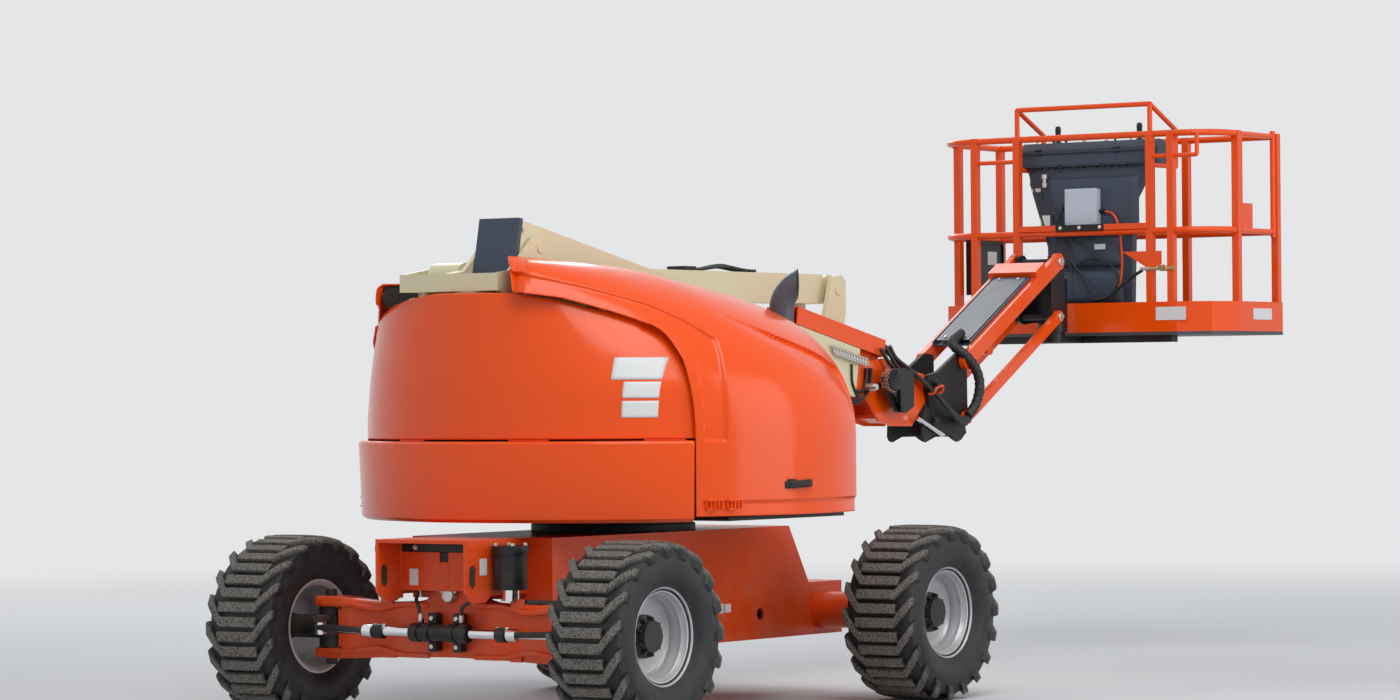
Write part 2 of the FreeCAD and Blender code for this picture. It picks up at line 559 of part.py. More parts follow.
def wheel_parts():
    """Tyre, rim and hub of each corner."""
    carcass, lugs = tyre_shape()
    pieces = []
    for low, high in lugs:
        count = len(low)
        shell = []
        # Fans of triangles keep every face of a lug flat
        for ring in (low, high):
            shell.append(Part.Face(Part.makePolygon([ring[0], ring[1], ring[4], ring[0]])))
            shell.append(Part.Face(Part.makePolygon([ring[0], ring[4], ring[5], ring[0]])))
            shell.append(Part.Face(Part.makePolygon([ring[1], ring[2], ring[3], ring[1]])))
            shell.append(Part.Face(Part.makePolygon([ring[1], ring[3], ring[4], ring[1]])))
        for k in range(count):
            j = (k + 1) % count
            shell.append(Part.Face(Part.makePolygon([low[k], low[j], high[j], low[k]])))
            shell.append(Part.Face(Part.makePolygon([low[k], high[j], high[k], low[k]])))
        piece = Part.Solid(Part.makeShell(shell))
        if piece.Volume < 0:
            piece.reverse()
        pieces.append(piece)
    if carcass.Volume < 0:
        carcass.reverse()
    tyre = carcass.multiFuse(pieces)
    master = doc.addObject("Part::Feature", "tyre_master")
    master.Shape = tyre
    half_rim = "rim_width / 2"
    for end, x in (("steer", "swing_x - axle_x"), ("drive", "swing_x + axle_x")):
        for name, side in (("right", "-1"), ("left", "1")):
            item = doc.addObject("Part::Feature", "tyre")
            item.Shape = master.Shape if side == "1" else master.Shape.mirror(FreeCAD.Vector(), FreeCAD.Vector(0, 1, 0))
            place(item, (x, side + " * track_y", "hub_z"))
            keep(item, "tyre_%s_%s" % (end, name))
            rim = new_body("rim_body")
            out = "%s * " % side
            profile = [("-(%s)" % half_rim, "seat_radius - rim_wall - 6"), ("-(%s)" % half_rim, "flange_radius"),
                       ("12 - (%s)" % half_rim, "flange_radius"), ("12 - (%s)" % half_rim, "seat_radius"),
                       ("(%s) - 12" % half_rim, "seat_radius"), ("(%s) - 12" % half_rim, "flange_radius"),
                       (half_rim, "flange_radius"), (half_rim, "seat_radius - rim_wall - 6"),
                       ("dish_y + 40", "seat_radius - rim_wall - 6"), ("dish_y", "seat_radius - 50"),
                       ("dish_y", "60"), ("dish_y - dish_wall", "60"),
                       ("dish_y - dish_wall", "seat_radius - 44"), ("dish_y + 26", "seat_radius - rim_wall - 14"),
                       ("dish_y - 40", "seat_radius - rim_wall - 12")]
            profile = [(out + "(%s)" % u, v) for u, v in profile]
            revolve(rim, "YZ", [profile], "H_Axis")
            place(rim, (x, side + " * track_y", "hub_z"))
            keep(rim, "rim_%s_%s" % (end, name))
            hub = new_body("hub_body")
            foot = "dish_y - dish_wall"
            shape = [(foot, "hub_bore"), (foot, "60 - gap"), ("dish_y + gap", "60 - gap"), ("dish_y + gap", "hub_radius"),
                     ("dish_y + 24", "hub_radius"), ("dish_y + 30", "hub_radius - 22"),
                     ("dish_y + hub_reach", "hub_radius - 26"), ("dish_y + hub_reach", "0"), ("dish_y + 30", "0"),
                     ("dish_y + 30", "hub_bore")]
            revolve(hub, "YZ", [[(out + "(%s)" % u, v) for u, v in shape]], "H_Axis")
            place(hub, (x, side + " * track_y", "hub_z"))
            keep(hub, "hub_%s_%s" % (end, name))
    doc.removeObject(master.Name)


def turntable():
    """Base, tower foot, counterweight, engine, tank and rear panel."""
    base = new_body("turntable_body")
    deck = [("-520", "-560"), ("-690", "-320"), ("-690", "320"), ("-520", "560"), ("600", "640"), ("640", "560"), ("640", "-560"), ("600", "-640")]
    pad(base, "XY", [deck], "turntable_low", "turntable_low + deck")
    tray = [("-430", "-559"), ("520", "-559"), ("520", "235 - weight_radius"), ("-430", "235 - weight_radius")]
    pad(base, "XY", [tray], "turntable_low", "turntable_low + deck - 10")
    pad(base, "XY", [[(u, "-(%s)" % v) for u, v in tray]], "turntable_low", "turntable_low + deck - 10")
    seat = [("-680", "turntable_low"), ("gap - " + WEIGHT_BORE, "turntable_low"), ("gap - " + WEIGHT_BORE, "1120"),
            ("30 - " + WEIGHT_BORE, "1120"), ("30 - " + WEIGHT_BORE, "turntable_low + deck"), ("-680", "turntable_low + deck")]
    revolve(base, "XZ", [seat], "V_Axis", "84").Midplane = True
    right = "tower_y - tower_half - tower_side_gap"
    left = "tower_y + tower_half + 25"
    foot = [("foot_x - 70", "turntable_low + deck - 1"), ("300", "turntable_low + deck - 1"), ("60", "1080"), ("-330", "1420"),
            ("-400", "foot_z + link_drop + 60"), ("foot_x - 70", "foot_z + link_drop + 60")]
    for low, high in ((right + " - tower_plate", right), (left, left + " + tower_plate")):
        pad(base, "XZ", [foot], low, high)
    pad(base, "XZ", [("foot_x", "foot_z", "tower_pin")], right + " - 1", left + " + 1")
    pad(base, "XZ", [("foot_x", "foot_z + link_drop", "tower_pin - 8")], right + " - 1", right + " + 12 + link_wall")
    clevis(base, "tower_base_x", "tower_base_z", "turntable_low + deck - 2", "tower_y", "42", "18", "44", "20")
    parts = [base]
    for name in ("right", "left"):
        for x, y, z in hinge_points(name)[0]:
            seat_z = "turntable_low + deck - 12"
            parts.append(box(("30", "16", z + " + 12 - (%s)" % seat_z), (x + " - 15", y + " - 8", seat_z)))
        parts.append(hinge_pins(name, "hinge_pin", "70"))
    keep(place(fuse(parts), ("swing_x", "0", "0")), "turntable_frame")

    weight = new_body("weight_body")
    profile = [(WEIGHT_BORE, "weight_low"), ("weight_radius - 34", "weight_low"), ("weight_radius", "weight_low + 30"),
               ("weight_radius", "weight_top - 12"), ("weight_radius - 12", "weight_top"), (WEIGHT_BORE, "weight_top")]
    profile = [("-(%s)" % u, v) for u, v in profile]
    ring = revolve(weight, "XZ", [profile], "V_Axis", "weight_half_angle * 2")
    ring.Midplane = True
    place(weight, ("swing_x", "0", "0"))
    keep(weight, "counterweight")

    engine = box(("845", "440", "560"), ("swing_x - 430", "435 - weight_radius", "turntable_low + deck"))
    keep(fuse([engine, box(("300", "120", "180"), ("swing_x - 150", "315 - weight_radius", "turntable_low + deck"))]), "engine_block")
    tank = new_body("tank_body")
    pad(tank, "XZ", [[("-440", "turntable_low + deck - 10"), ("440", "turntable_low + deck - 10"), ("440", "1380"),
                      ("380", "1440"), ("-380", "1440"), ("-440", "1380")]], "weight_radius - 535", "weight_radius - 295")
    place(tank, ("swing_x", "0", "0"))
    keep(tank, "tank")


# Stations of each hood: X from the swing axis, height of the roof's inboard edge, share of the
# width that the slanted front corner takes off
ROOF = {"right": [(-1090, 2103, 0), (-900, 2096, 0), (-684, 2089, 0), (-400, 2068, 0), (-100, 2022, 0),
                  (200, 1976, 0), (400, 1938, 0), (500, 1908, 0.083), (600, 1874, 0.15), (680, 1800, 0.215)],
        "left": [(-990, 1994, 0), (-900, 1996, 0), (-684, 2000, 0), (-400, 2000, 0), (-100, 1985, 0),
                 (200, 1960, 0), (400, 1931, 0), (500, 1904, 0.163), (600, 1870, 0.305), (680, 1795, 0.45)]}
# Rises of a hood's section from its waist to its roof, in degrees of a quarter turn
ARC = (20, 40, 60, 78)
BULGE = 2 / 2.15
# Lower edge of the hood's arm over the rear panel: X behind the seam, height
ARM_EDGE = [(16, 1640), (56, 1725), (116, 1785), (216, 1835), (316, 1875), (436, 1905), (600, 1905)]


def hood_section(side, inner, x, roof, inset, share):
    """Loop of a hood's cross-section: wall, rounded shoulder, roof and inboard edge."""
    wall = "(%s + (sqrt((%s - (%s)) ^ 2 - (%s) ^ 2) - %s) * (1 - %s))" % (inner, HOOD_RADIUS, inset, x, inner, share)
    rise = "(%s - (%s) - hood_waist)" % (roof, inset)
    loop = [("%s * (%s)" % (side, inner), "hood_low - (%s)" % inset), ("%s * %s" % (side, wall), "hood_low - (%s)" % inset),
            ("%s * %s" % (side, wall), "hood_waist")]
    for degrees in ARC + (90,):
        out = round(math.cos(math.radians(degrees)) ** BULGE, 4) if degrees < 90 else 0
        up = round(math.sin(math.radians(degrees)) ** BULGE, 4)
        loop.append(("%s * (%s + (%s - %s) * %s)" % (side, inner, wall, inner, out), "hood_waist + %s * %s" % (rise, up)))
    return loop


def hood_solid(name, side, inner, inset, open_end):
    """Hood volume, drawn in by inset, lofted through the stations of its roof."""
    body = new_body("hood_body")
    stations = []
    last = len(ROOF[name]) - 1
    for k, (x, roof, share) in enumerate(ROOF[name]):
        level = str(x)
        if k == 0:
            level = "%s - %s" % (x, open_end)
        if k == last:
            level = "hood_front - (%s)" % inset
        stations.append((level, hood_section(side, inner, str(x), str(roof), inset, str(share))))
    loft(body, "YZ", stations)
    return body


def hinge_points(name):
    """Rear and front hinge point of a hood, with the fall of its hinge line."""
    if name == "left":
        side = "(well_left + hinge_inset)"
        return [("hinge_back", side, "hinge_left_z"), ("hinge_ahead", side, "hinge_left_z")], "0"
    side = "(-well_right - hinge_inset)"
    drop = "hinge_right_z - (hinge_ahead - hinge_back) * tan(hinge_right_fall * 1deg)"
    return [("hinge_back", side, "hinge_right_z"), ("hinge_ahead", side, drop)], "-hinge_right_fall"


def hinge_pins(name, radius, length):
    """Both hinge pins of a hood, centred on its hinge points."""
    points, fall = hinge_points(name)
    pins = []
    for x, y, z in points:
        pin = new_body("hinge_pin_body")
        pad(pin, "YZ", [("0", "0", radius)], "-(%s) / 2" % length, "(%s) / 2" % length)
        pins.append(place(pin, (x, y, z), fall))
    return fuse(pins)


def hinge_lugs(name, outer):
    """Lugs under a hood's roof that hang on the hinge pins."""
    points, fall = hinge_points(name)
    return [common([outer, box(("8", "44", "240"), (x + " + 21", y + " - 22", z + " - 16"))]) for x, y, z in points]


def hoods():
    """Right and left hood and the rear panel, as sheet shells."""
    for name, side, inner in (("right", "-1", "well_right"), ("left", "1", "well_left")):
        outer = hood_solid(name, side, inner, "0", "0")
        hollow = hood_solid(name, side, "(%s - 1)" % inner, "skin", "1")
        shell = cut(outer, hollow)
        # The door stops at the rear panel's seam, and its arm runs on over the panel
        behind = new_body("seam_body")
        edge = [("-hood_back", "hood_low - 20"), ("-hood_back", "1500")]
        edge += [("-hood_back - %s" % back, str(z)) for back, z in ARM_EDGE] + [("-hood_back - 600", "hood_low - 20")]
        pad(behind, "XZ", [edge], "-1300", "1300")
        shell = cut(shell, behind)
        if name == "right":
            slot = box(("300", "190", "420"), ("stack_x - 85", "-stack_y - 112", "1700"))
            shell = cut(shell, slot)
        shell = cut(fuse([shell] + hinge_lugs(name, outer)), hinge_pins(name, "hinge_pin + gap", "90"))
        place(shell, ("swing_x", "0", "0"))
        keep(shell, "hood_" + name)

    # Levels of the rear panel: height, step inside its foot at the back, centre behind the swing axis
    levels = [("weight_top", 0, 0), ("1500", 8, 28), ("1600", 16, 92), ("1650", 22, 122), ("1700", 28, 164),
              ("1757", 34, 216), ("1828", 40, 298), ("1870", 44, 346), ("1934", 50, 428)]
    faces = []
    for inset in ("0", "skin"):
        panel = new_body("panel_body")
        loft(panel, "XY", [(z, ("-%s" % back, "0", "%s - %s - %s - %s" % (PANEL_RADIUS, step, back, inset)))
                           for z, step, back in levels])
        faces.append(panel)
    sheet = cut(faces[0], faces[1])
    sheet = cut(sheet, box(("2400", "2400", "1200"), ("32 - hood_back", "-1200", "1000")))
    # Room for the upright
    sheet = cut(sheet, box(("500", "900", "300"), ("-1006", "-450", "1790")))
    # Scalloped top edge: Y, height
    top = [(-900, 1600), (-866, 1700), (-807, 1757), (-640, 1828), (-390, 1900), (-223, 1930), (0, 1933), (121, 1925),
           (327, 1897), (500, 1854), (640, 1780), (780, 1720), (825, 1690), (900, 1600)]
    below = new_body("panel_edge_body")
    pad(below, "YZ", [[("1000", "1200"), ("-1000", "1200")] + [(str(y), str(z)) for y, z in top]], "-1300", "0")
    keep(place(common([sheet, below]), ("swing_x", "0", "0")), "rear_panel")


def exhaust():
    """Exhaust stack with its cut-back tip."""
    elbow = rod("42", "stack_x - 415", ("415 - stack_x", "0", "60"), "X")
    pipe = fuse([elbow, rod("48", "560", ("0", "0", "0"), "Z"), rod("40", "120", ("0", "0", "560"), "Z")])
    hollow = cut(pipe, rod("36", "300", ("0", "0", "400"), "Z"))
    place(hollow, ("swing_x + stack_x", "-stack_y", "1370"))
    keep(hollow, "exhaust_stack")


def tower():
    """Tower arms, timing links, knuckle and upright."""
    right = "tower_y - tower_half - tower_side_gap"
    left = "tower_y + tower_half + 25"
    inner = "tower_half - tower_wall"
    for name, length, start, sign in (("lower", "lower_arm", ("foot_x", "foot_z"), ""),
                                      ("upper", "upper_arm", ("foot_x + lower_arm + knuckle_step - upper_arm",
                                                              "foot_z + knuckle_rise"), "")):
        arm = new_body("arm_body")
        pad(arm, "YZ", [rectangle("-tower_half", "tower_half", "-tower_height / 2", "tower_height / 2")],
            "60", length + " - 60")
        pocket(arm, "YZ", [rectangle("-(%s)" % inner, inner, "tower_wall - tower_height / 2",
                                     "tower_height / 2 - tower_wall")], "59", length + " - 59")
        for x in ("0", length):
            pad(arm, "XZ", [(x, "0", "tower_height / 2")], "-tower_half", "tower_half")
        for x in ("0", length):
            pocket(arm, "XZ", [(x, "0", "tower_pin + gap")], "-tower_half - 1", "tower_half + 1")
        if name == "lower":
            clevis(arm, "tower_lug_x", "-tower_lug_z", "2 - tower_height / 2", "0", "50", "18", "34")
        place(arm, ("swing_x + " + start[0], "tower_y", start[1]))
        keep(arm, "tower_%s_arm" % name)
        link = new_body("link_body")
        edge = right + " + 8"
        turn = "1" if name == "lower" else "-1"
        pad(link, "XZ", [rectangle("0", length, "-link_height / 2", "link_height / 2")], edge, edge + " + link_wall")
        for x in ("0", length):
            pad(link, "XZ", [(x, "0", "link_height / 2 + 8")], edge, edge + " + link_wall")
        for x in ("0", length):
            pocket(link, "XZ", [(x, "0", "tower_pin - 8 + gap")], edge + " - 1", edge + " + link_wall + 1")
        place(link, ("swing_x + " + start[0], "0", "%s + %s * link_drop" % (start[1], turn)))
        keep(link, "tower_%s_link" % name)

    knuckle = new_body("tower_knuckle_body")
    plate = [("-70", "-70"), ("70", "-70"), ("knuckle_step + 72", "knuckle_rise - 120"),
             ("knuckle_step + 72", "knuckle_rise + 40"), ("knuckle_step + 40", "knuckle_rise + 72"),
             ("knuckle_step - 60", "knuckle_rise + 60"), ("-70", "link_drop + 60")]
    for low, high in ((right + " - tower_plate", right), (left, left + " + tower_plate")):
        pad(knuckle, "XZ", [plate], low, high)
    for x, z in (("0", "0"), ("knuckle_step", "knuckle_rise")):
        pad(knuckle, "XZ", [(x, z, "tower_pin")], right + " - tower_plate - 6", left + " + tower_plate + 6")
    for x, z in (("0", "link_drop"), ("knuckle_step", "knuckle_rise - link_drop")):
        pad(knuckle, "XZ", [(x, z, "tower_pin - 8")], right + " - tower_plate - 6", right + " + 12 + link_wall")
    place(knuckle, ("swing_x + foot_x + lower_arm", "0", "foot_z"))
    keep(knuckle, "tower_knuckle")

    upright = new_body("upright_body")
    top_x = UPRIGHT_X
    top_z = UPRIGHT_Z
    low_z = top_z + " - link_drop"
    side = [(top_x + " - 80", low_z + " - 50"), (top_x + " + 60", low_z + " - 50"), (top_x + " + 60", top_z + " + 60"),
            (top_x + " - 200", top_z + " + 20"), (top_x + " - 200", "1948"), (top_x + " - 80", "1948")]
    for low, high in ((right + " - tower_plate", right), (left, left + " + tower_plate")):
        pad(upright, "XZ", [side], low, high)
    pad(upright, "XZ", [(top_x, top_z, "tower_pin")], right + " - tower_plate - 6", left + " + tower_plate + 6")
    pad(upright, "XZ", [(top_x, low_z, "tower_pin - 8")], right + " - tower_plate - 6", right + " + 12 + link_wall")
    ear_in = "boom_half + 12"
    ear = [(top_x + " - 200", "1948"), (top_x + " - 60", "lift_base_z - 46"),
           ("lift_base_x + 60", "lift_base_z - 40"), (BOOM_X + " + 60", BOOM_Z + " - 20"),
           (BOOM_X + " + 40", BOOM_Z + " + 45"), (BOOM_X + " - 40", BOOM_Z + " + 45"),
           (top_x + " - 120", "2040"), (top_x + " - 200", "2030")]
    for low, high in (("-(%s) - 22" % ear_in, "-(%s)" % ear_in), (ear_in, "(%s) + 22" % ear_in)):
        pad(upright, "XZ", [ear], low, high)
    pad(upright, "YZ", [rectangle("-(%s) - 22" % ear_in, left + " + tower_plate", "1948", "2028")],
        top_x + " - 216", top_x + " - 190")
    for x, z, pin in ((BOOM_X, BOOM_Z, "tower_pin"), ("lift_base_x", "lift_base_z", "20")):
        pad(upright, "XZ", [(x, z, pin)], "-(%s) - 26" % ear_in, "(%s) + 26" % ear_in)
    place(upright, ("swing_x", "0", "0"))
    keep(upright, "upright")


def level_pin():
    """Levelling pin in the boom's own frame: along the boom, and above its pivot line."""
    run, rise = "(level_x - %s)" % BOOM_X, "(level_z - %s)" % BOOM_Z
    slope = "(boom_angle * 1deg)"
    return ("(%s * cos%s + %s * sin%s)" % (run, slope, rise, slope),
            "(%s * cos%s - %s * sin%s)" % (rise, slope, run, slope))


def booms():
    """Main boom and fly boom, drawn along X from the main pivot."""
    boom = new_body("boom_body")
    pad(boom, "YZ", [rectangle("-boom_half", "boom_half", "-boom_under", "boom_over")], "-boom_tail", "boom_length")
    pocket(boom, "YZ", [rectangle("boom_wall - boom_half", "boom_half - boom_wall", "boom_wall - boom_under",
                                  "boom_over - boom_wall")], "40", "boom_length + 1")
    pocket(boom, "XZ", [("0", "0", "tower_pin + gap")], "-boom_half - 1", "boom_half + 1")
    clevis(boom, "lift_lug_x", "-lift_lug_z", "2 - boom_under", "0", "50", "18", "34")
    # Wear pads that carry the fly boom at the main boom's mouth
    for side in ("-1", "1"):
        a = "%s * (fly_half + gap + boom_half - boom_wall) / 2" % side
        thick = "(boom_half - boom_wall - fly_half - gap) / 2"
        pad(boom, "XY", [rectangle("boom_length - 160", "boom_length - 20", "%s - %s" % (a, thick), "%s + %s" % (a, thick))],
            "-90", "30")
    level_along, level_above = level_pin()
    middle = "(%s - fly_drop)" % level_above
    pad(boom, "XY", [rectangle("boom_length - 160", "boom_length - 20", "-60", "60")],
        "boom_wall - boom_under", middle + " - fly_height / 2 - gap")
    pad(boom, "XY", [rectangle("boom_length - 160", "boom_length - 20", "-60", "60")],
        middle + " + fly_height / 2 + gap", "boom_over - boom_wall")
    place(boom, ("swing_x + " + BOOM_X, "0", BOOM_Z), "boom_angle")
    keep(boom, "main_boom")

    cap = new_body("cap_body")
    pad(cap, "YZ", [rectangle("-boom_half - 6", "boom_half + 6", "-boom_under - 4", "boom_over + 6")],
        "-boom_tail - cap_depth", "-boom_tail")
    place(cap, ("swing_x + " + BOOM_X, "0", BOOM_Z), "boom_angle")
    keep(cap, "boom_end_cap")

    fly = new_body("fly_body")
    along, above = level_pin()
    middle = "(%s - fly_drop)" % above
    low, high = middle + " - fly_height / 2", middle + " + fly_height / 2"
    pad(fly, "YZ", [rectangle("-fly_half", "fly_half", low, high)], "fly_start", along + " - 120")
    pocket(fly, "YZ", [rectangle("fly_wall - fly_half", "fly_half - fly_wall", low + " + fly_wall",
                                 high + " - fly_wall")], "fly_start - 1", along + " - 119")
    nose = [(along + " - 560", low + " + 1"), (along + " - 560", high + " - 1"), (along + " - 420", high + " + 42"),
            (along + " - 80", high + " + 30"), (along + " + 40", above + " + 46"), (along + " + 52", above),
            (along + " + 30", above + " - 44"), (along + " - 110", low + " - 60"), (along + " - 300", low + " - 96"),
            (along + " - 420", low + " - 96")]
    for side in ("-1", "1"):
        a = "%s * (fly_half - 6) - 6" % side
        pad(fly, "XZ", [nose], a, a + " + 12")
    pad(fly, "XZ", [(along, above, "36")], "6 - fly_half", "fly_half - 6")
    pad(fly, "YZ", [rectangle("6 - fly_half", "fly_half - 6", low + " - 80", low + " - 60")], along + " - 420", along + " - 300")
    pocket(fly, "XZ", [(along, above, "jib_pin + gap")], "-fly_half - 1", "fly_half + 1")
    place(fly, ("swing_x + " + BOOM_X, "0", BOOM_Z), "boom_angle")
    keep(fly, "fly_boom")

    cover = new_body("cover_body")
    low, top = "(boom_over + 8)", "(boom_over + cover_rise)"
    pad(cover, "YZ", [rectangle("-cover_half", "cover_half", low, top)], "cover_start", "cover_end")
    pocket(cover, "YZ", [rectangle("cover_wall - cover_half", "cover_half - cover_wall", low + " - 1", top + " - cover_wall")],
           "cover_start - 1", "cover_end - cover_wall")
    pad(cover, "YZ", [rectangle("-60", "60", high, top + " - 1")], "boom_length + 60", "cover_end - 1")
    place(cover, ("swing_x + " + BOOM_X, "0", BOOM_Z), "boom_angle")
    keep(cover, "hose_cover")


def jib():
    """Jib base, arms, links and head, with the rotator."""
    inner, outer = "jib_plate_in", "jib_plate_in + jib_plate"
    base = new_body("jib_base_body")
    plate = [("level_x - 46", "level_z - 30"), ("level_x - 30", "level_z + 44"), ("level_x + 60", "level_z + 60"),
             ("jib_x - 50", "jib_z + 40"), ("jib_x + 40", "jib_z + 34"), ("jib_x + 44", "jib_z - 60"),
             ("jib_x + 50", "jib_z - jib_drop - 40"), ("jib_x - 40", "jib_z - jib_drop - 62"),
             ("level_x + 40", "jib_z - jib_drop - 62"), ("level_x + 10", "level_z - 200")]
    for low, high in (("-(%s)" % outer, "-(%s)" % inner), (inner, outer)):
        pad(base, "XZ", [plate], low, high)
    for x, z in (("level_x", "level_z"), ("jib_x", "jib_z - jib_drop")):
        pad(base, "XZ", [(x, z, "jib_pin")], "-jib_arm_in - jib_arm_width - 6", "jib_arm_in + jib_arm_width + 6")
    # Stub pins carry the arms, which leaves the cylinder room between them
    for low, high in (("-jib_arm_in - jib_arm_width - 6", "-(%s)" % inner), (inner, "jib_arm_in + jib_arm_width + 6")):
        pad(base, "XZ", [("jib_x", "jib_z", "jib_pin")], low, high)
    pad(base, "XZ", [("jib_x + jib_base_step", "jib_z - jib_base_drop", "jib_pin")], "-(%s)" % outer, outer)
    place(base, ("swing_x", "0", "0"))
    keep(base, "jib_base")

    arms = new_body("jib_arm_body")
    for low, high in (("-jib_arm_in - jib_arm_width", "-jib_arm_in"), ("jib_arm_in", "jib_arm_in + jib_arm_width")):
        pad(arms, "XZ", [rectangle("0", "jib_length", "-jib_arm_height / 2", "jib_arm_height / 2")], low, high)
        for x in ("0", "jib_length"):
            pad(arms, "XZ", [(x, "0", "jib_arm_height / 2 + 4")], low, high)
    pad(arms, "XY", [rectangle("jib_length - 260", "jib_length - 150", "-jib_arm_in - jib_arm_width",
                               "jib_arm_in + jib_arm_width")], "jib_arm_height / 2 - 2", "jib_arm_height / 2 + 34")
    pad(arms, "XZ", [("jib_lug_x", "0", "26")], "-jib_arm_in - 1", "jib_arm_in + 1")
    clevis(arms, "jib_lug_x", "-jib_lug_z", "20", "0", "40", "18", "30")
    for x in ("0", "jib_length"):
        pocket(arms, "XZ", [(x, "0", "jib_pin + gap")], "-jib_arm_in - jib_arm_width - 1", "jib_arm_in + jib_arm_width + 1")
    place(arms, ("swing_x + jib_x", "0", "jib_z"), "jib_angle")
    keep(arms, "jib_arms")

    tray = new_body("tray_body")
    pad(tray, "YZ", [rectangle("-jib_arm_in", "jib_arm_in", "28", "tray_top")], "tray_start", "jib_length - 262")
    pocket(tray, "YZ", [rectangle("5 - jib_arm_in", "jib_arm_in - 5", "33", "tray_top + 1")], "tray_start - 1", "jib_length - 261")
    place(tray, ("swing_x + jib_x", "0", "jib_z"), "jib_angle")
    keep(tray, "jib_tray")

    link = new_body("jib_link_body")
    for low, high in (("-jib_arm_in - jib_arm_width", "-jib_arm_in"), ("jib_arm_in", "jib_arm_in + jib_arm_width")):
        pad(link, "XZ", [rectangle("0", "jib_length", "-jib_link_height / 2", "jib_link_height / 2")], low, high)
        for x in ("0", "jib_length"):
            pad(link, "XZ", [(x, "0", "jib_link_height / 2 + 6")], low, high)
    for x in ("0", "jib_length"):
        pocket(link, "XZ", [(x, "0", "jib_pin + gap")], "-jib_arm_in - jib_arm_width - 1", "jib_arm_in + jib_arm_width + 1")
    place(link, ("swing_x + jib_x", "0", "jib_z - jib_drop"), "jib_angle")
    keep(link, "jib_links")

    head = new_body("jib_head_body")
    head_x = "(jib_x + jib_length * cos(jib_angle * 1deg))"
    head_z = "(jib_z + jib_length * sin(jib_angle * 1deg))"
    plate = [(head_x + " - 34", head_z + " + 30"), (head_x + " + 30", head_z + " + 40"), ("rotator_x - 60", head_z + " - 20"),
             ("rotator_x - 60", head_z + " - jib_drop - 30"), (head_x + " + 20", head_z + " - jib_drop - 40"),
             (head_x + " - 34", head_z + " - jib_drop - 20")]
    for low, high in (("-(%s)" % outer, "-(%s)" % inner), (inner, outer)):
        pad(head, "XZ", [plate], low, high)
    pad(head, "YZ", [rectangle("-(%s)" % outer, outer, head_z + " - jib_drop - 30", head_z + " - 20")],
        "rotator_x - 84", "rotator_x - 60")
    for z in (head_z, head_z + " - jib_drop"):
        pad(head, "XZ", [(head_x, z, "jib_pin")], "-jib_arm_in - jib_arm_width - 6", "jib_arm_in + jib_arm_width + 6")
    pad(head, "XY", [("rotator_x", "0", "rotator_radius")], "rotator_low", "rotator_top")
    place(head, ("swing_x", "0", "0"))
    keep(head, "jib_head")


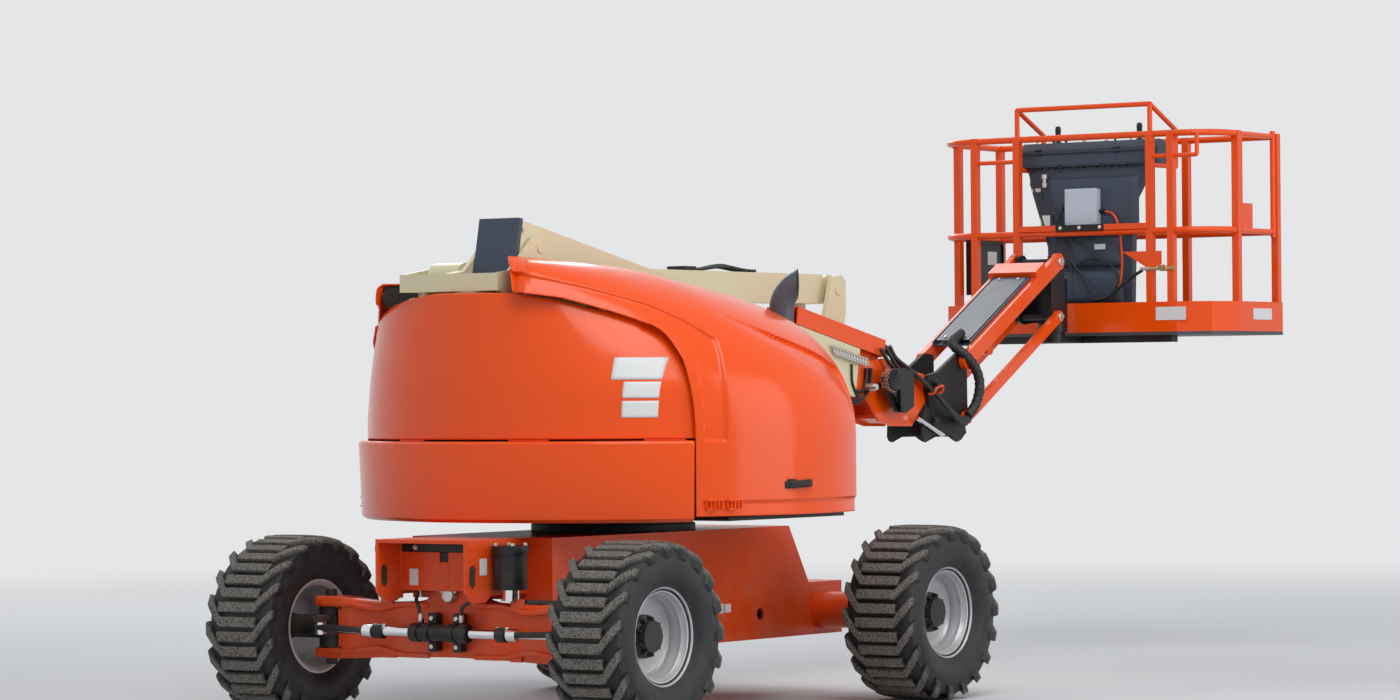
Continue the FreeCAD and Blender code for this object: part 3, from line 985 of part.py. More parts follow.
def cage():
    """Platform: support, floor, toe boards, rails, gate, console and boxes."""
    support = new_body("support_body")
    pad(support, "XY", [("rotator_x", "0", "rotator_radius - 14")], "rotator_low - 60", "rotator_low - gap")
    pad(support, "XY", [rectangle("rotator_x", "cage_front + 60", "-60", "60")], "rotator_low - 60", "floor_z - floor_depth")
    pad(support, "XY", [rectangle("cage_front + 20", "cage_front + 90", "-620", "620")],
        "rotator_low - 60", "floor_z - floor_depth")
    place(support, ("swing_x", "0", "0"))
    keep(support, "platform_support")

    corner = "cage_corner * 0.293"
    plan = [("cage_front", "cage_half - cage_corner"), ("cage_front + " + corner, "cage_half - " + corner),
            ("cage_front + cage_corner", "cage_half"), ("cage_back", "cage_half")]
    plan = plan + [(u, "-(%s)" % v) for u, v in reversed(plan)]
    edge = "(toe_wall + gap + 2 * post + 3)"
    deck = [("cage_front + " + edge, "cage_half - cage_corner - 40"), ("cage_front + cage_corner + 40", "cage_half - " + edge),
            ("cage_back - " + edge, "cage_half - " + edge)]
    deck = deck + [(u, "-(%s)" % v) for u, v in reversed(deck)]
    floor = new_body("floor_body")
    pad(floor, "XY", [plan], "floor_z - floor_depth", "floor_z - ledge")
    pad(floor, "XY", [deck], "floor_z - ledge - 1", "floor_z")
    place(floor, ("swing_x", "0", "0"))
    keep(floor, "platform_floor")

    toe = new_body("toe_body")
    inside = [("cage_front + toe_wall", "cage_half - cage_corner"),
              ("cage_front + toe_wall + " + corner, "cage_half - toe_wall - " + corner),
              ("cage_front + toe_wall + cage_corner", "cage_half - toe_wall"), ("cage_back - toe_wall", "cage_half - toe_wall")]
    inside = inside + [(u, "-(%s)" % v) for u, v in reversed(inside)]
    pad(toe, "XY", [plan, inside], "floor_z - ledge", "toe_top")
    place(toe, ("swing_x", "0", "0"))
    keep(toe, "toe_boards")

    inset = "(post + toe_wall + gap)"
    posts = [("cage_front + cage_corner + post + toe_wall + gap", "cage_half - " + inset), ("cage_back - " + inset, "cage_half - " + inset),
             ("gate_front", inset + " - cage_half"), ("cage_back - " + inset, inset + " - cage_half"),
             ("cage_front + " + inset, "cage_half - cage_corner - 2 * post"),
             ("cage_front + " + inset, "cage_corner + 2 * post - cage_half"),
             ("cage_back - " + inset, "330"), ("cage_back - " + inset, "-330")]
    tubes = [box(("2 * post", "2 * post", "top_rail_z + tube - 2 - floor_z + ledge"), (x + " - post", y + " - post", "floor_z - ledge"))
             for x, y in posts]
    for z in ("mid_rail_z", "top_rail_z"):
        tubes.append(rod("tube", "2 * cage_half - 2 * cage_corner",
                         ("cage_front + " + inset, "cage_corner - cage_half", z), "Y"))
        tubes.append(rod("tube", "2 * cage_half - 2 * " + inset, ("cage_back - " + inset, inset + " - cage_half", z), "Y"))
        tubes.append(rod("tube", "cage_back - cage_front - cage_corner - " + inset,
                         ("cage_front + cage_corner", "cage_half - " + inset, z), "X"))
        for side in ("1", "-1"):
            bend = doc.addObject("Part::Torus", "Bend")
            tie(bend, "Radius1", "cage_corner - " + inset)
            tie(bend, "Radius2", "tube")
            bend.Angle3 = 90
            bend.Placement.Rotation = FreeCAD.Rotation(FreeCAD.Vector(0, 0, 1), 90 if side == "1" else 180)
            place(bend, ("cage_front + cage_corner", side + " * (cage_half - cage_corner)", z))
            tubes.append(bend)
    front = "cage_front + " + inset
    guard_top = "guard_z - guard_tube"
    for y in ("-guard_right", "guard_left"):
        tubes += [rod("guard_tube", guard_top + " - top_rail_z", (front, y, "top_rail_z"), "Z"),
                  box(("2 * post", "2 * post", "top_rail_z - floor_z + ledge"), (front + " - post", y + " - post", "floor_z - ledge")),
                  rod("guard_tube", "console_reach", (front, y, "console_z"), "X"),
                  rod("guard_tube", guard_top + " - guard_fall - console_z", (front + " + console_reach", y, "console_z"), "Z"),
                  leaning("guard_tube", (front, guard_top), (front + " + console_reach", guard_top + " - guard_fall"), y)]
    tubes.append(rod("guard_tube", "guard_left + guard_right", (front, "-guard_right", guard_top), "Y"))
    for y in ("-guard_right", "-guard_right - 290", "guard_left", "guard_left + 280"):
        tubes.append(rod("tube - 6", "top_rail_z - grab_z", (front, y, "grab_z"), "Z"))
    for y, reach in (("-guard_right - 290", "290"), ("guard_left", "280")):
        tubes.append(rod("tube - 6", reach, (front, y, "grab_z"), "Y"))
    tubes.append(box(("8", "guard_left + guard_right", "32"), (front + " - post - 4", "-guard_right", "flat_bar_z - 16")))
    bracket = new_body("bracket_body")
    pad(bracket, "YZ", [[("-330", "2238"), ("-guard_right - 78", "2238"), ("-guard_right - 78", "2165"), ("-guard_right", "2140")]],
        front + " - post - 5", front + " - post + 1")
    tubes.append(bracket)
    rails = fuse(tubes)
    place(rails, ("swing_x", "0", "0"))
    keep(rails, "platform_rails")

    hinge_x = "cage_back - %s - post - tube + 3 - gap" % inset
    gate_y = "%s - cage_half" % inset
    span = "%s - gate_front - 40" % hinge_x
    gate = fuse([rod("tube - 3", span, ("gate_front + 40", gate_y, "top_rail_z"), "X"),
                 rod("tube - 3", span, ("gate_front + 40", gate_y, "mid_rail_z"), "X"),
                 rod("tube - 3", "top_rail_z - mid_rail_z", ("gate_front + 40", gate_y, "mid_rail_z"), "Z"),
                 rod("tube - 3", "top_rail_z - mid_rail_z + 60", (hinge_x, gate_y, "mid_rail_z - 30"), "Z"),
                 box(("140", "6", "150"), ("gate_front + 40", gate_y + " - 3", "mid_rail_z"))])
    place(gate, ("swing_x", "0", "0"))
    keep(gate, "gate")

    console = new_body("console_body")
    seat = "console_z + guard_tube + gap"
    face = "(panel_front - 30)"
    pad(console, "XZ", [[(face, seat), (face, "console_z + 106"), (face + " + 34", "console_z + 148"),
                         (face + " + 190", "console_z + 112"), (face + " + 206", "console_z + 56"), (face + " + 180", seat)]],
        "-guard_right - 8", "guard_left + 14")
    pad(console, "XZ", [[(face + " + 30", "console_z + 60"), (face + " + 30", "console_z - 30"), (face + " + 76", "console_z - 30"),
                         (face + " + 76", "console_z + 60")]], "60 - guard_right", "guard_left - 20")
    place(console, ("swing_x", "0", "0"))
    keep(console, "console")

    panel = new_body("control_panel_body")
    pad(panel, "YZ", [[("64 - guard_right", "console_z - 30"), ("160 - guard_right", "console_z - 190"),
                       ("180 - guard_right", "floor_z + ledge"), ("guard_left - 150", "floor_z + ledge"), ("guard_left - 136", "console_z - 430"),
                       ("guard_left - 24", "console_z - 80"), ("guard_left - 24", "console_z - 30")]],
        "panel_front", "panel_front + panel_depth")
    place(panel, ("swing_x", "0", "0"))
    keep(panel, "control_panel")

    electrical = box(("80", "box_side", "box_side"), ("swing_x + panel_front - 80", "-142", "console_z - 316"))
    keep(electrical, "electrical_box")

    manual = box(("310", "64", "312"), ("swing_x + cage_back - 442", "cage_half - %s - tube - gap - 64" % inset, "mid_rail_z - 322"))
    keep(manual, "manual_box")


chassis()
steering()
wheel_parts()
turntable()
hoods()
exhaust()
tower()
booms()
jib()
cage()
cylinder_pair("tower_cylinder", ("swing_x + tower_base_x", "tower_base_z"),
              turned(("swing_x + foot_x", "foot_z"), ("tower_lug_x", "tower_lug_z"), "0"), "tower_y",
              "44", "26", "20", "440", "80")
cylinder_pair("lift_cylinder", ("swing_x + lift_base_x", "lift_base_z"),
              turned(("swing_x + " + BOOM_X, BOOM_Z), ("lift_lug_x", "lift_lug_z"), "boom_angle"), "0",
              "44", "25", "20", "468", "74")
cylinder_pair("jib_cylinder", ("swing_x + jib_x + jib_base_step", "jib_z - jib_base_drop"),
              turned(("swing_x + jib_x", "jib_z"), ("jib_lug_x", "jib_lug_z"), "jib_angle"), "0",
              "34", "17", "jib_pin", "280", "184")

doc.recompute()
for item in doc.Objects:
    if "Invalid" in item.State or "Error" in item.State:
        raise RuntimeError("%s (%s) did not compute: %s" % (item.Label, item.Name, item.State))
for item in CUTS:
    before = item.BaseFeature.Shape.Volume if item.BaseFeature else None
    if before is not None and item.Shape.Volume >= before - 1e-6:
        raise RuntimeError("a pocket cuts nothing: " + item.Name)
for item in PARTS:
    if item.Shape.isNull() or not item.Shape.isValid():
        raise RuntimeError("bad shape: " + item.Label)
os.makedirs("parts", exist_ok=True)
for item in PARTS:
    item.Shape.exportStep("parts/" + item.Label + ".step")
    print("%-26s %2d solids %9.1f cm3" % (item.Label, len(item.Shape.Solids), item.Shape.Volume / 1000))
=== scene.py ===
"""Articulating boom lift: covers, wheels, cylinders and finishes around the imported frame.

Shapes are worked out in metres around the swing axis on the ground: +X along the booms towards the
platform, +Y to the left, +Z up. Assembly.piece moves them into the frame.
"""

import logging
import math
from dataclasses import dataclass, field
from enum import Enum

import bmesh
import bpy
import numpy as np
from mathutils import Matrix

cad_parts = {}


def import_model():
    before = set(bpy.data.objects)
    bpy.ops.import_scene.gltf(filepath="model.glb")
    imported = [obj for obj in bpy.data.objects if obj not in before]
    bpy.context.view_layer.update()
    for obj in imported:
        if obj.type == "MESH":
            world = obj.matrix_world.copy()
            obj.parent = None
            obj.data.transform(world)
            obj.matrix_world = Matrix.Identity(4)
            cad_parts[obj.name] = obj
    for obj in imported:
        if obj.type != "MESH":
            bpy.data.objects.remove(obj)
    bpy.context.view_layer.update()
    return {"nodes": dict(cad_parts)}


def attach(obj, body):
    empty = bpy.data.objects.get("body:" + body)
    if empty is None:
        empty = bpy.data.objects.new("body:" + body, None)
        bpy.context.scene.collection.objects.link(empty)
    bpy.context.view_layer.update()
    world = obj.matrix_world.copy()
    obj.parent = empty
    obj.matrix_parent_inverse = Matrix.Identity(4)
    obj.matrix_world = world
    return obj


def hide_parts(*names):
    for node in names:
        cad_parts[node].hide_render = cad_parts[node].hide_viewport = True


LOG = logging.getLogger("boom_lift")

SWING_X = -1.739
AXLE_X = 1.170
HUB_Z = 0.419
TRACK_Y = 0.975
ROD_X, ROD_Z = -1.312, 0.415  # steering rod
EXHAUST_X, EXHAUST_Y = 0.585, -0.572
PIN_X, PIN_Z = 2.970, 1.640  # upper pin of the jib base
ARM_PITCH, ARM_LENGTH = 29.4, 1.101
LABEL = 0.0012  # thickness of a blank plate
# Three hoses side by side that cross from the fly boom to the jib base: number, drop
STRANDS = ((0, 0.0), (1, 0.012), (2, 0.022))


class Side(Enum):
    """Side of the machine, with the sign of its Y."""

    RIGHT = -1
    LEFT = 1


class End(Enum):
    """End of the machine, with the sign of its X."""

    STEER = -1
    DRIVE = 1


# Surfaces

@dataclass
class Shape:
    """A surface: points (n, 3) and four-cornered faces (m, 4)."""

    points: np.ndarray
    faces: np.ndarray

    def moved(self, x: float = 0.0, y: float = 0.0, z: float = 0.0) -> "Shape":
        """The shape carried by x, y and z."""
        return Shape(self.points + np.array([x, y, z]), self.faces)

    def pitched(self, degrees: float) -> "Shape":
        """The shape turned about Y so that its +X end rises by the angle."""
        c, s = math.cos(math.radians(degrees)), math.sin(math.radians(degrees))
        return Shape(self.points @ np.array([[c, 0.0, s], [0.0, 1.0, 0.0], [-s, 0.0, c]]), self.faces)

    def yawed(self, degrees: float) -> "Shape":
        """The shape turned about Z, counterclockwise from above."""
        c, s = math.cos(math.radians(degrees)), math.sin(math.radians(degrees))
        return Shape(self.points @ np.array([[c, s, 0.0], [-s, c, 0.0], [0.0, 0.0, 1.0]]), self.faces)

    def mirrored(self) -> "Shape":
        """The shape on the other side of the centre plane."""
        return Shape(self.points * np.array([1.0, -1.0, 1.0]), self.faces[:, ::-1])

    def kept(self, mask: np.ndarray) -> "Shape":
        """The shape without the faces whose centre the mask leaves out.

        Args:
            mask: One truth value for each face.
        """
        return Shape(self.points, self.faces[mask])

    def centres(self) -> np.ndarray:
        """Middle of each face."""
        return self.points[self.faces].mean(axis=1)


def merged(shapes: list) -> Shape:
    """One shape from several."""
    starts = np.cumsum([0] + [len(s.points) for s in shapes[:-1]])
    faces = [s.faces + start for s, start in zip(shapes, starts)]
    return Shape(np.concatenate([s.points for s in shapes]), np.concatenate(faces))


def grid(points: np.ndarray, loop_u: bool = False, loop_v: bool = False) -> Shape:
    """Surface through a grid of points, each cell one face.

    Args:
        points: Array (u, v, 3).
        loop_u: Join the last row to the first.
        loop_v: Join the last column to the first.

    Returns:
        The surface.
    """
    rows, columns = points.shape[:2]
    index = np.arange(rows * columns).reshape(rows, columns)
    if loop_u:
        index = np.concatenate([index, index[:1]], axis=0)
    if loop_v:
        index = np.concatenate([index, index[:, :1]], axis=1)
    faces = np.stack([index[:-1, :-1], index[1:, :-1], index[1:, 1:], index[:-1, 1:]], axis=-1)
    return Shape(points.reshape(-1, 3), faces.reshape(-1, 4))


def capped(points: np.ndarray) -> Shape:
    """Closed bar from rings of points: the rings' sides, and both ends drawn in to their middles.

    Args:
        points: Array (station, corner, 3), each station one closed ring.

    Returns:
        The closed surface.
    """
    ends = [np.repeat(ring.mean(axis=0, keepdims=True), len(ring), axis=0)[None] for ring in (points[0], points[-1])]
    return grid(np.concatenate([ends[0], points, ends[1]]), loop_v=True)


def lathe(profile: list, axis: str, sides: int = 48, closed: bool = False) -> Shape:
    """Surface of revolution: each (along, radius) pair of the profile turned about an axis.

    Args:
        profile: Pairs of distance along the axis and radius.
        axis: "X", "Y" or "Z".
        sides: Steps around the turn.
        closed: Join the last pair to the first, as for a ring.

    Returns:
        The surface around the origin.
    """
    pairs = np.array(profile, float)
    turn = np.linspace(0.0, 2 * math.pi, sides, endpoint=False)
    along = np.repeat(pairs[:, :1], sides, axis=1)
    across = pairs[:, 1:] * np.cos(turn)
    up = pairs[:, 1:] * np.sin(turn)
    order = {"X": (along, across, up), "Y": (up, along, across), "Z": (across, up, along)}[axis]
    return grid(np.stack(order, axis=-1), loop_u=closed, loop_v=True)


def rod(low: float, high: float, radius: float, axis: str, sides: int) -> Shape:
    """Solid cylinder between two levels of an axis."""
    return lathe([(low, 0.0), (low, radius), (high, radius), (high, 0.0)], axis, sides)


def sleeve(low: float, high: float, inner: float, outer: float, axis: str, sides: int) -> Shape:
    """Hollow cylinder between two levels of an axis."""
    return lathe([(low, inner), (low, outer), (high, outer), (high, inner)], axis, sides, closed=True)


def block(size: tuple, centre: tuple = (0.0, 0.0, 0.0)) -> Shape:
    """Box of a size about a centre, as a closed bar along X."""
    half = np.array(size) / 2
    ring = np.array([[-1, -1], [1, -1], [1, 1], [-1, 1]], float) * half[1:]
    rings = np.stack([np.column_stack([np.full(4, x), ring]) for x in (-half[0], half[0])])
    return capped(rings).moved(*centre)


def slab(outline: list, low: float, high: float, axis: str) -> Shape:
    """Plate: an outline carried from one level to another along an axis.

    Args:
        outline: Corner pairs on the plane across the axis: (y, z) for X, (x, z) for Y, (x, y) for Z.
        low: First level.
        high: Last level.
        axis: "X", "Y" or "Z".

    Returns:
        The closed plate.
    """
    flat = np.array(outline, float)
    place = {"X": 0, "Y": 1, "Z": 2}[axis]
    return capped(np.stack([np.insert(flat, place, level, axis=1) for level in (low, high)]))


def oblong(first: tuple, last: tuple, low: float, high: float, axis: str) -> Shape:
    """Rectangular plate between two opposite corners, from one level to another along an axis."""
    return slab([first, (first[0], last[1]), last, (last[0], first[1])], low, high, axis)


def rounded(corners: list, radius: float, steps: int = 6) -> np.ndarray:
    """Path through corners, each rounded by a quadratic curve that starts a radius before it.

    Args:
        corners: Points of the path.
        radius: Distance from a corner at which its curve starts and ends.
        steps: Parts of each curve.

    Returns:
        Points of the path.
    """
    points = np.array(corners, float)
    before = points[:-2] - points[1:-1]
    after = points[2:] - points[1:-1]
    lengths = np.minimum(np.linalg.norm(before, axis=1), np.linalg.norm(after, axis=1))[:, None]
    reach = np.minimum(radius, 0.49 * lengths)
    start = points[1:-1] + before / np.linalg.norm(before, axis=1, keepdims=True) * reach
    end = points[1:-1] + after / np.linalg.norm(after, axis=1, keepdims=True) * reach
    t = np.linspace(0.0, 1.0, steps + 1)[None, :, None]
    curve = start[:, None] * (1 - t) ** 2 + 2 * points[1:-1][:, None] * t * (1 - t) + end[:, None] * t ** 2
    return np.concatenate([points[:1], curve.reshape(-1, 3), points[-1:]])


def spline(corners: list, steps: int = 12) -> np.ndarray:
    """Smooth curve through points, by Catmull and Rom's cubic on each span."""
    points = np.array(corners, float)
    points = np.concatenate([2 * points[:1] - points[1:2], points, 2 * points[-1:] - points[-2:-1]])
    a, b, c, d = points[:-3, None], points[1:-2, None], points[2:-1, None], points[3:, None]
    t = np.linspace(0.0, 1.0, steps, endpoint=False)[None, :, None]
    curve = 0.5 * (2 * b + (c - a) * t + (2 * a - 5 * b + 4 * c - d) * t ** 2 + (3 * b - a - 3 * c + d) * t ** 3)
    return np.concatenate([curve.reshape(-1, 3), points[-2:-1]])


def tube(path: np.ndarray, section: np.ndarray, up: tuple = (0.0, 0.0, 1.0), loop: bool = False) -> Shape:
    """Bar with a closed section carried along a path, mitred where the path turns.

    Args:
        path: Points (n, 3).
        section: Pairs (m, 2): sideways and upwards from the path.
        up: Direction that stays upwards in the section.
        loop: Join the end of the path to its start.

    Returns:
        The surface, capped unless it loops.
    """
    path = np.asarray(path, float)
    if loop:
        ahead = np.roll(path, -1, axis=0) - path
        behind = path - np.roll(path, 1, axis=0)
    else:
        runs = np.diff(path, axis=0)
        ahead = np.concatenate([runs, runs[-1:]])
        behind = np.concatenate([runs[:1], runs])
    ahead = ahead / np.linalg.norm(ahead, axis=1, keepdims=True)
    behind = behind / np.linalg.norm(behind, axis=1, keepdims=True)
    heading = ahead + behind
    heading = heading / np.linalg.norm(heading, axis=1, keepdims=True)
    sideways = np.cross(heading, np.array(up, float))
    sideways = sideways / np.linalg.norm(sideways, axis=1, keepdims=True)
    upwards = np.cross(sideways, heading)
    section = np.asarray(section, float)
    rings = path[:, None] + sideways[:, None] * section[None, :, :1] + upwards[:, None] * section[None, :, 1:]
    return grid(rings, loop_u=True, loop_v=True) if loop else capped(rings)


def disc(radius: float, sides: int = 12) -> np.ndarray:
    """Round section of a tube."""
    turn = np.linspace(0.0, 2 * math.pi, sides, endpoint=False)
    return radius * np.column_stack([np.cos(turn), np.sin(turn)])


def bar_section(width: float, height: float, radius: float, steps: int = 3) -> np.ndarray:
    """Rectangular section with rounded corners."""
    turn = np.linspace(0.0, math.pi / 2, steps + 1)
    arc = radius * np.column_stack([np.cos(turn), np.sin(turn)])
    inner = np.array([width / 2 - radius, height / 2 - radius])
    quarters = []
    for k, (sx, sy) in enumerate(((1, 1), (-1, 1), (-1, -1), (1, -1))):
        c, s = math.cos(k * math.pi / 2), math.sin(k * math.pi / 2)
        quarters.append(arc @ np.array([[c, s], [-s, c]]) + inner * np.array([sx, sy]))
    return np.concatenate(quarters)


def ease(value: np.ndarray, low: float, high: float) -> np.ndarray:
    """Smooth step from 0 at low to 1 at high."""
    t = np.clip((value - low) / (high - low), 0.0, 1.0)
    return t * t * (3 - 2 * t)


def soft(x: np.ndarray, stations: tuple, values: tuple, width: float) -> np.ndarray:
    """Straight lines between stations, with their corners rounded by averaging over a width."""
    shifts = np.linspace(-width, width, 9)
    return np.mean([np.interp(x + shift, stations, values) for shift in shifts], axis=0)


def swept(section: np.ndarray, turn: np.ndarray) -> Shape:
    """Closed bar: a section of (radius, height) pairs carried around the swing axis through the angles."""
    radius, turn = section[None, :, 0], turn[:, None]
    height = np.broadcast_to(section[:, 1], (len(turn), len(section)))
    return capped(np.stack([radius * np.cos(turn), radius * np.sin(turn), height], axis=-1))


def ring_pad(angle: float, radius: float, length: float, low: float, high: float) -> Shape:
    """Short curved pad on a circle around the swing axis, between two heights."""
    section = bar_section(0.03, high - low, 0.002) + np.array([radius - 0.016, (low + high) / 2])
    return swept(section, angle + np.linspace(-0.5, 0.5, 9) * length / radius)


def hexagon(at: tuple, axis: str, radius: float, height: float) -> Shape:
    """Bolt head with its washer, along an axis from a point; a negative height turns it round."""
    profile = ((0.0, 0.0), (0.0, 1.25), (0.22, 1.25), (0.22, 1.0), (0.9, 1.0), (1.0, 0.85), (1.0, 0.0))
    return lathe([(height * along, radius * out) for along, out in profile], axis, 6).moved(*at)


def plate(size: tuple, centre: tuple, axis: str, radius: float) -> Shape:
    """Plate with rounded corners, thin along an axis."""
    keep = [k for k in range(3) if "XYZ"[k] != axis]
    thin = "XYZ".index(axis)
    outline = bar_section(size[keep[0]], size[keep[1]], radius, 4) + np.array([centre[k] for k in keep])
    return slab(outline, centre[thin] - size[thin] / 2, centre[thin] + size[thin] / 2, axis)


def rim_bar(corners: list, radius: float, steps: int, section: tuple, up: tuple = (0.0, 0.0, 1.0)) -> Shape:
    """Closed bar around a panel: the corners of its path, and its section's width, height and radius."""
    return tube(rounded(corners + corners[:1], radius, steps)[:-1], bar_section(*section), up, loop=True)


def hose(corners: list, radius: float, sides: int = 12) -> Shape:
    """Round hose along a smooth curve through points."""
    path = spline(corners, 8)
    run = np.diff(path, axis=0).sum(axis=0)
    up = (0.0, 1.0, 0.0) if abs(run[1]) < 0.8 * np.linalg.norm(run) else (0.0, 0.0, 1.0)
    return tube(path, disc(radius, sides), up)


# Finishes

class Nodes:
    """Adds nodes to a tree and joins them."""

    def __init__(self, tree: bpy.types.NodeTree) -> None:
        """Work on a tree."""
        self.tree = tree

    def node(self, kind: str, values: dict | None = None, **settings: object) -> bpy.types.Node:
        """Add a node with its settings and the values of its inputs."""
        made = self.tree.nodes.new("ShaderNode" + kind)
        for key, value in settings.items():
            setattr(made, key, value)
        return self.fed(made, values or {})

    def fed(self, made: bpy.types.Node, values: dict) -> bpy.types.Node:
        """Give a node's inputs, by name or number, numbers, colours or outputs; gives the node."""
        for key, value in values.items():
            if isinstance(value, (int, float, tuple)):
                made.inputs[key].default_value = value
            else:
                self.tree.links.new(value, made.inputs[key])
        return made

    def sum(self, operation: str, *values: object) -> object:
        """Math node; gives its output."""
        return self.node("Math", dict(enumerate(values)), operation=operation).outputs[0]

    def noise(self, vector: object, scale: object, detail: float) -> object:
        """Noise around a half at a scale; gives its factor."""
        return self.node("TexNoise", {"Vector": vector, "Scale": scale, "Detail": detail}).outputs[0]

    def span(self, value: object, low: float, high: float) -> object:
        """Clamped ramp from 0 at low to 1 at high; gives its output."""
        values = {"Value": value, "From Min": low, "From Max": high}
        return self.node("MapRange", values, interpolation_type="SMOOTHSTEP").outputs[0]

    def blend(self, factor: object, first: object, second: object) -> object:
        """Mix two colours; gives the result."""
        return self.node("Mix", {"Factor": factor, 6: first, 7: second}, data_type="RGBA").outputs[2]

    def show(self, factor: object, first: bpy.types.Node, second: bpy.types.Node, sink: str) -> None:
        """Send a mix of two shaders to the tree's output node."""
        mix = self.node("MixShader", {0: factor, 1: first.outputs[0], 2: second.outputs[0]})
        self.fed(self.tree.nodes[sink], {"Surface": mix.outputs[0]})


class Group(Nodes):
    """A shader node group with named inputs, and with Colour, Roughness and Height as its outputs."""

    def __init__(self, name: str, **inputs: str) -> None:
        """Start the group.

        Args:
            name: Name of the group.
            inputs: Names of its inputs by the kind of their sockets, parted by commas.
        """
        super().__init__(bpy.data.node_groups.new(name, "ShaderNodeTree"))
        self.source = self.tree.nodes.new("NodeGroupInput").outputs
        self.sink = self.tree.nodes.new("NodeGroupOutput")
        for way, sockets in (("INPUT", inputs), ("OUTPUT", {"Color": "Colour", "Float": "Roughness, Height"})):
            for kind, names in sockets.items():
                for key in names.split(", "):
                    self.tree.interface.new_socket(name=key, in_out=way, socket_type="NodeSocket" + kind)


def grouped_material(name: str, group: bpy.types.NodeTree, values: dict, relief: float, gleam: float) -> tuple:
    """Material whose colour, roughness and height come from a node group.

    Args:
        name: Name of the material.
        group: The group, whose input Place takes the object's coordinates.
        values: Values of its inputs.
        relief: Height of the bump, in metres.
        gleam: Specular level of the shader.

    Returns:
        The material, its nodes, its shader, the group's node and the coordinates' node.
    """
    made = bpy.data.materials.new(name)
    made.use_nodes = True
    nodes = Nodes(made.node_tree)
    place = nodes.node("TexCoord")
    look = nodes.node("Group", node_tree=group)
    nodes.fed(look, {**values, "Place": place.outputs["Object"]})
    bump = nodes.node("Bump", {"Distance": relief, "Strength": 0.5, "Height": look.outputs["Height"]})
    shader = nodes.fed(made.node_tree.nodes["Principled BSDF"], {"Specular IOR Level": gleam,
                                                                 "Base Color": look.outputs["Colour"],
                                                                 "Roughness": look.outputs["Roughness"],
                                                                 "Normal": bump.outputs["Normal"]})
    return made, nodes, shader, look, place


@dataclass(frozen=True)
class Finish:
    """A procedural finish: colour, gloss, coat, gleam, grain, dust and chips, and its slot in the record."""

    name: str
    colour: tuple
    roughness: float = 0.4
    slot: str = ""
    metallic: float = 0.0
    coat: float = 0.0
    grain: float = 0.1
    grain_scale: float = 220.0
    dust: float = 0.25
    dust_colour: tuple = (0.36, 0.29, 0.21)
    mottle: float = 0.08
    chips: float = 0.0
    bump: float = 0.0006
    gleam: float = 0.5

    def material(self) -> bpy.types.Material:
        """The finish as a material, made once."""
        made = bpy.data.materials.get(self.name)
        if made:
            return made
        values = {"Colour": (*self.colour, 1.0), "Dust Colour": (*self.dust_colour, 1.0),
                  "Roughness": self.roughness, "Dust": self.dust, "Mottle": self.mottle, "Grain": self.grain,
                  "Grain Scale": self.grain_scale, "Chips": self.chips}
        made, nodes, shader, look, place = grouped_material(self.name, aged_surface(), values, self.bump, self.gleam)
        nodes.fed(shader, {"Metallic": self.metallic, "Coat Weight": self.coat, "Coat Roughness": 0.06})
        nodes.fed(look, {"Facing": place.outputs["Normal"]})
        return made


def aged_surface() -> bpy.types.NodeTree:
    """Group: colour with mottling, road dust low down and on upward faces, chips and a fine grain."""
    made = bpy.data.node_groups.get("Aged surface")
    if made:
        return made
    g = Group("Aged surface", Vector="Place, Facing", Color="Colour, Dust Colour",
              Float="Roughness, Dust, Mottle, Grain, Grain Scale, Chips")
    source = g.source
    split = g.node("SeparateXYZ", {0: source["Place"]})
    facing = g.node("SeparateXYZ", {0: source["Facing"]})
    broad = g.noise(source["Place"], 2.3, 4.0)
    cloud = g.noise(source["Place"], 9.0, 5.0)
    fine = g.noise(source["Place"], source["Grain Scale"], 2.0)
    # Mottling moves the value of the colour up and down with the broad noise
    shade = g.sum("MULTIPLY_ADD", g.sum("SUBTRACT", broad, 0.5), source["Mottle"], 1.0)
    tint = g.node("HueSaturation", {"Color": source["Colour"], "Value": shade})
    # Dust: a low band broken by cloud, and a little on what faces up
    low = g.sum("SUBTRACT", 1.0, g.span(split.outputs["Z"], 0.05, 1.15))
    flat = g.sum("MULTIPLY", g.span(facing.outputs["Z"], 0.55, 0.98), 0.55)
    reach = g.sum("ADD", low, flat)
    broken = g.sum("MULTIPLY", reach, g.span(cloud, 0.33, 0.72))
    dust = g.sum("MULTIPLY", broken, source["Dust"])
    # Chips: rare small spots where two noises are both high
    spots = g.sum("MULTIPLY", g.span(g.noise(source["Place"], 38.0, 6.0), 0.66, 0.69), g.span(broad, 0.5, 0.62))
    chips = g.sum("MULTIPLY", spots, source["Chips"])
    dusted = g.blend(dust, tint.outputs[0], source["Dust Colour"])
    rough = g.sum("MULTIPLY_ADD", g.sum("SUBTRACT", cloud, 0.5), 0.12, source["Roughness"])
    g.fed(g.sink, {"Colour": g.blend(chips, dusted, (0.11, 0.09, 0.08, 1.0)),
                   "Roughness": g.sum("MULTIPLY_ADD", dust, 0.45, rough),
                   "Height": g.sum("MULTIPLY", fine, source["Grain"])})
    return g.tree


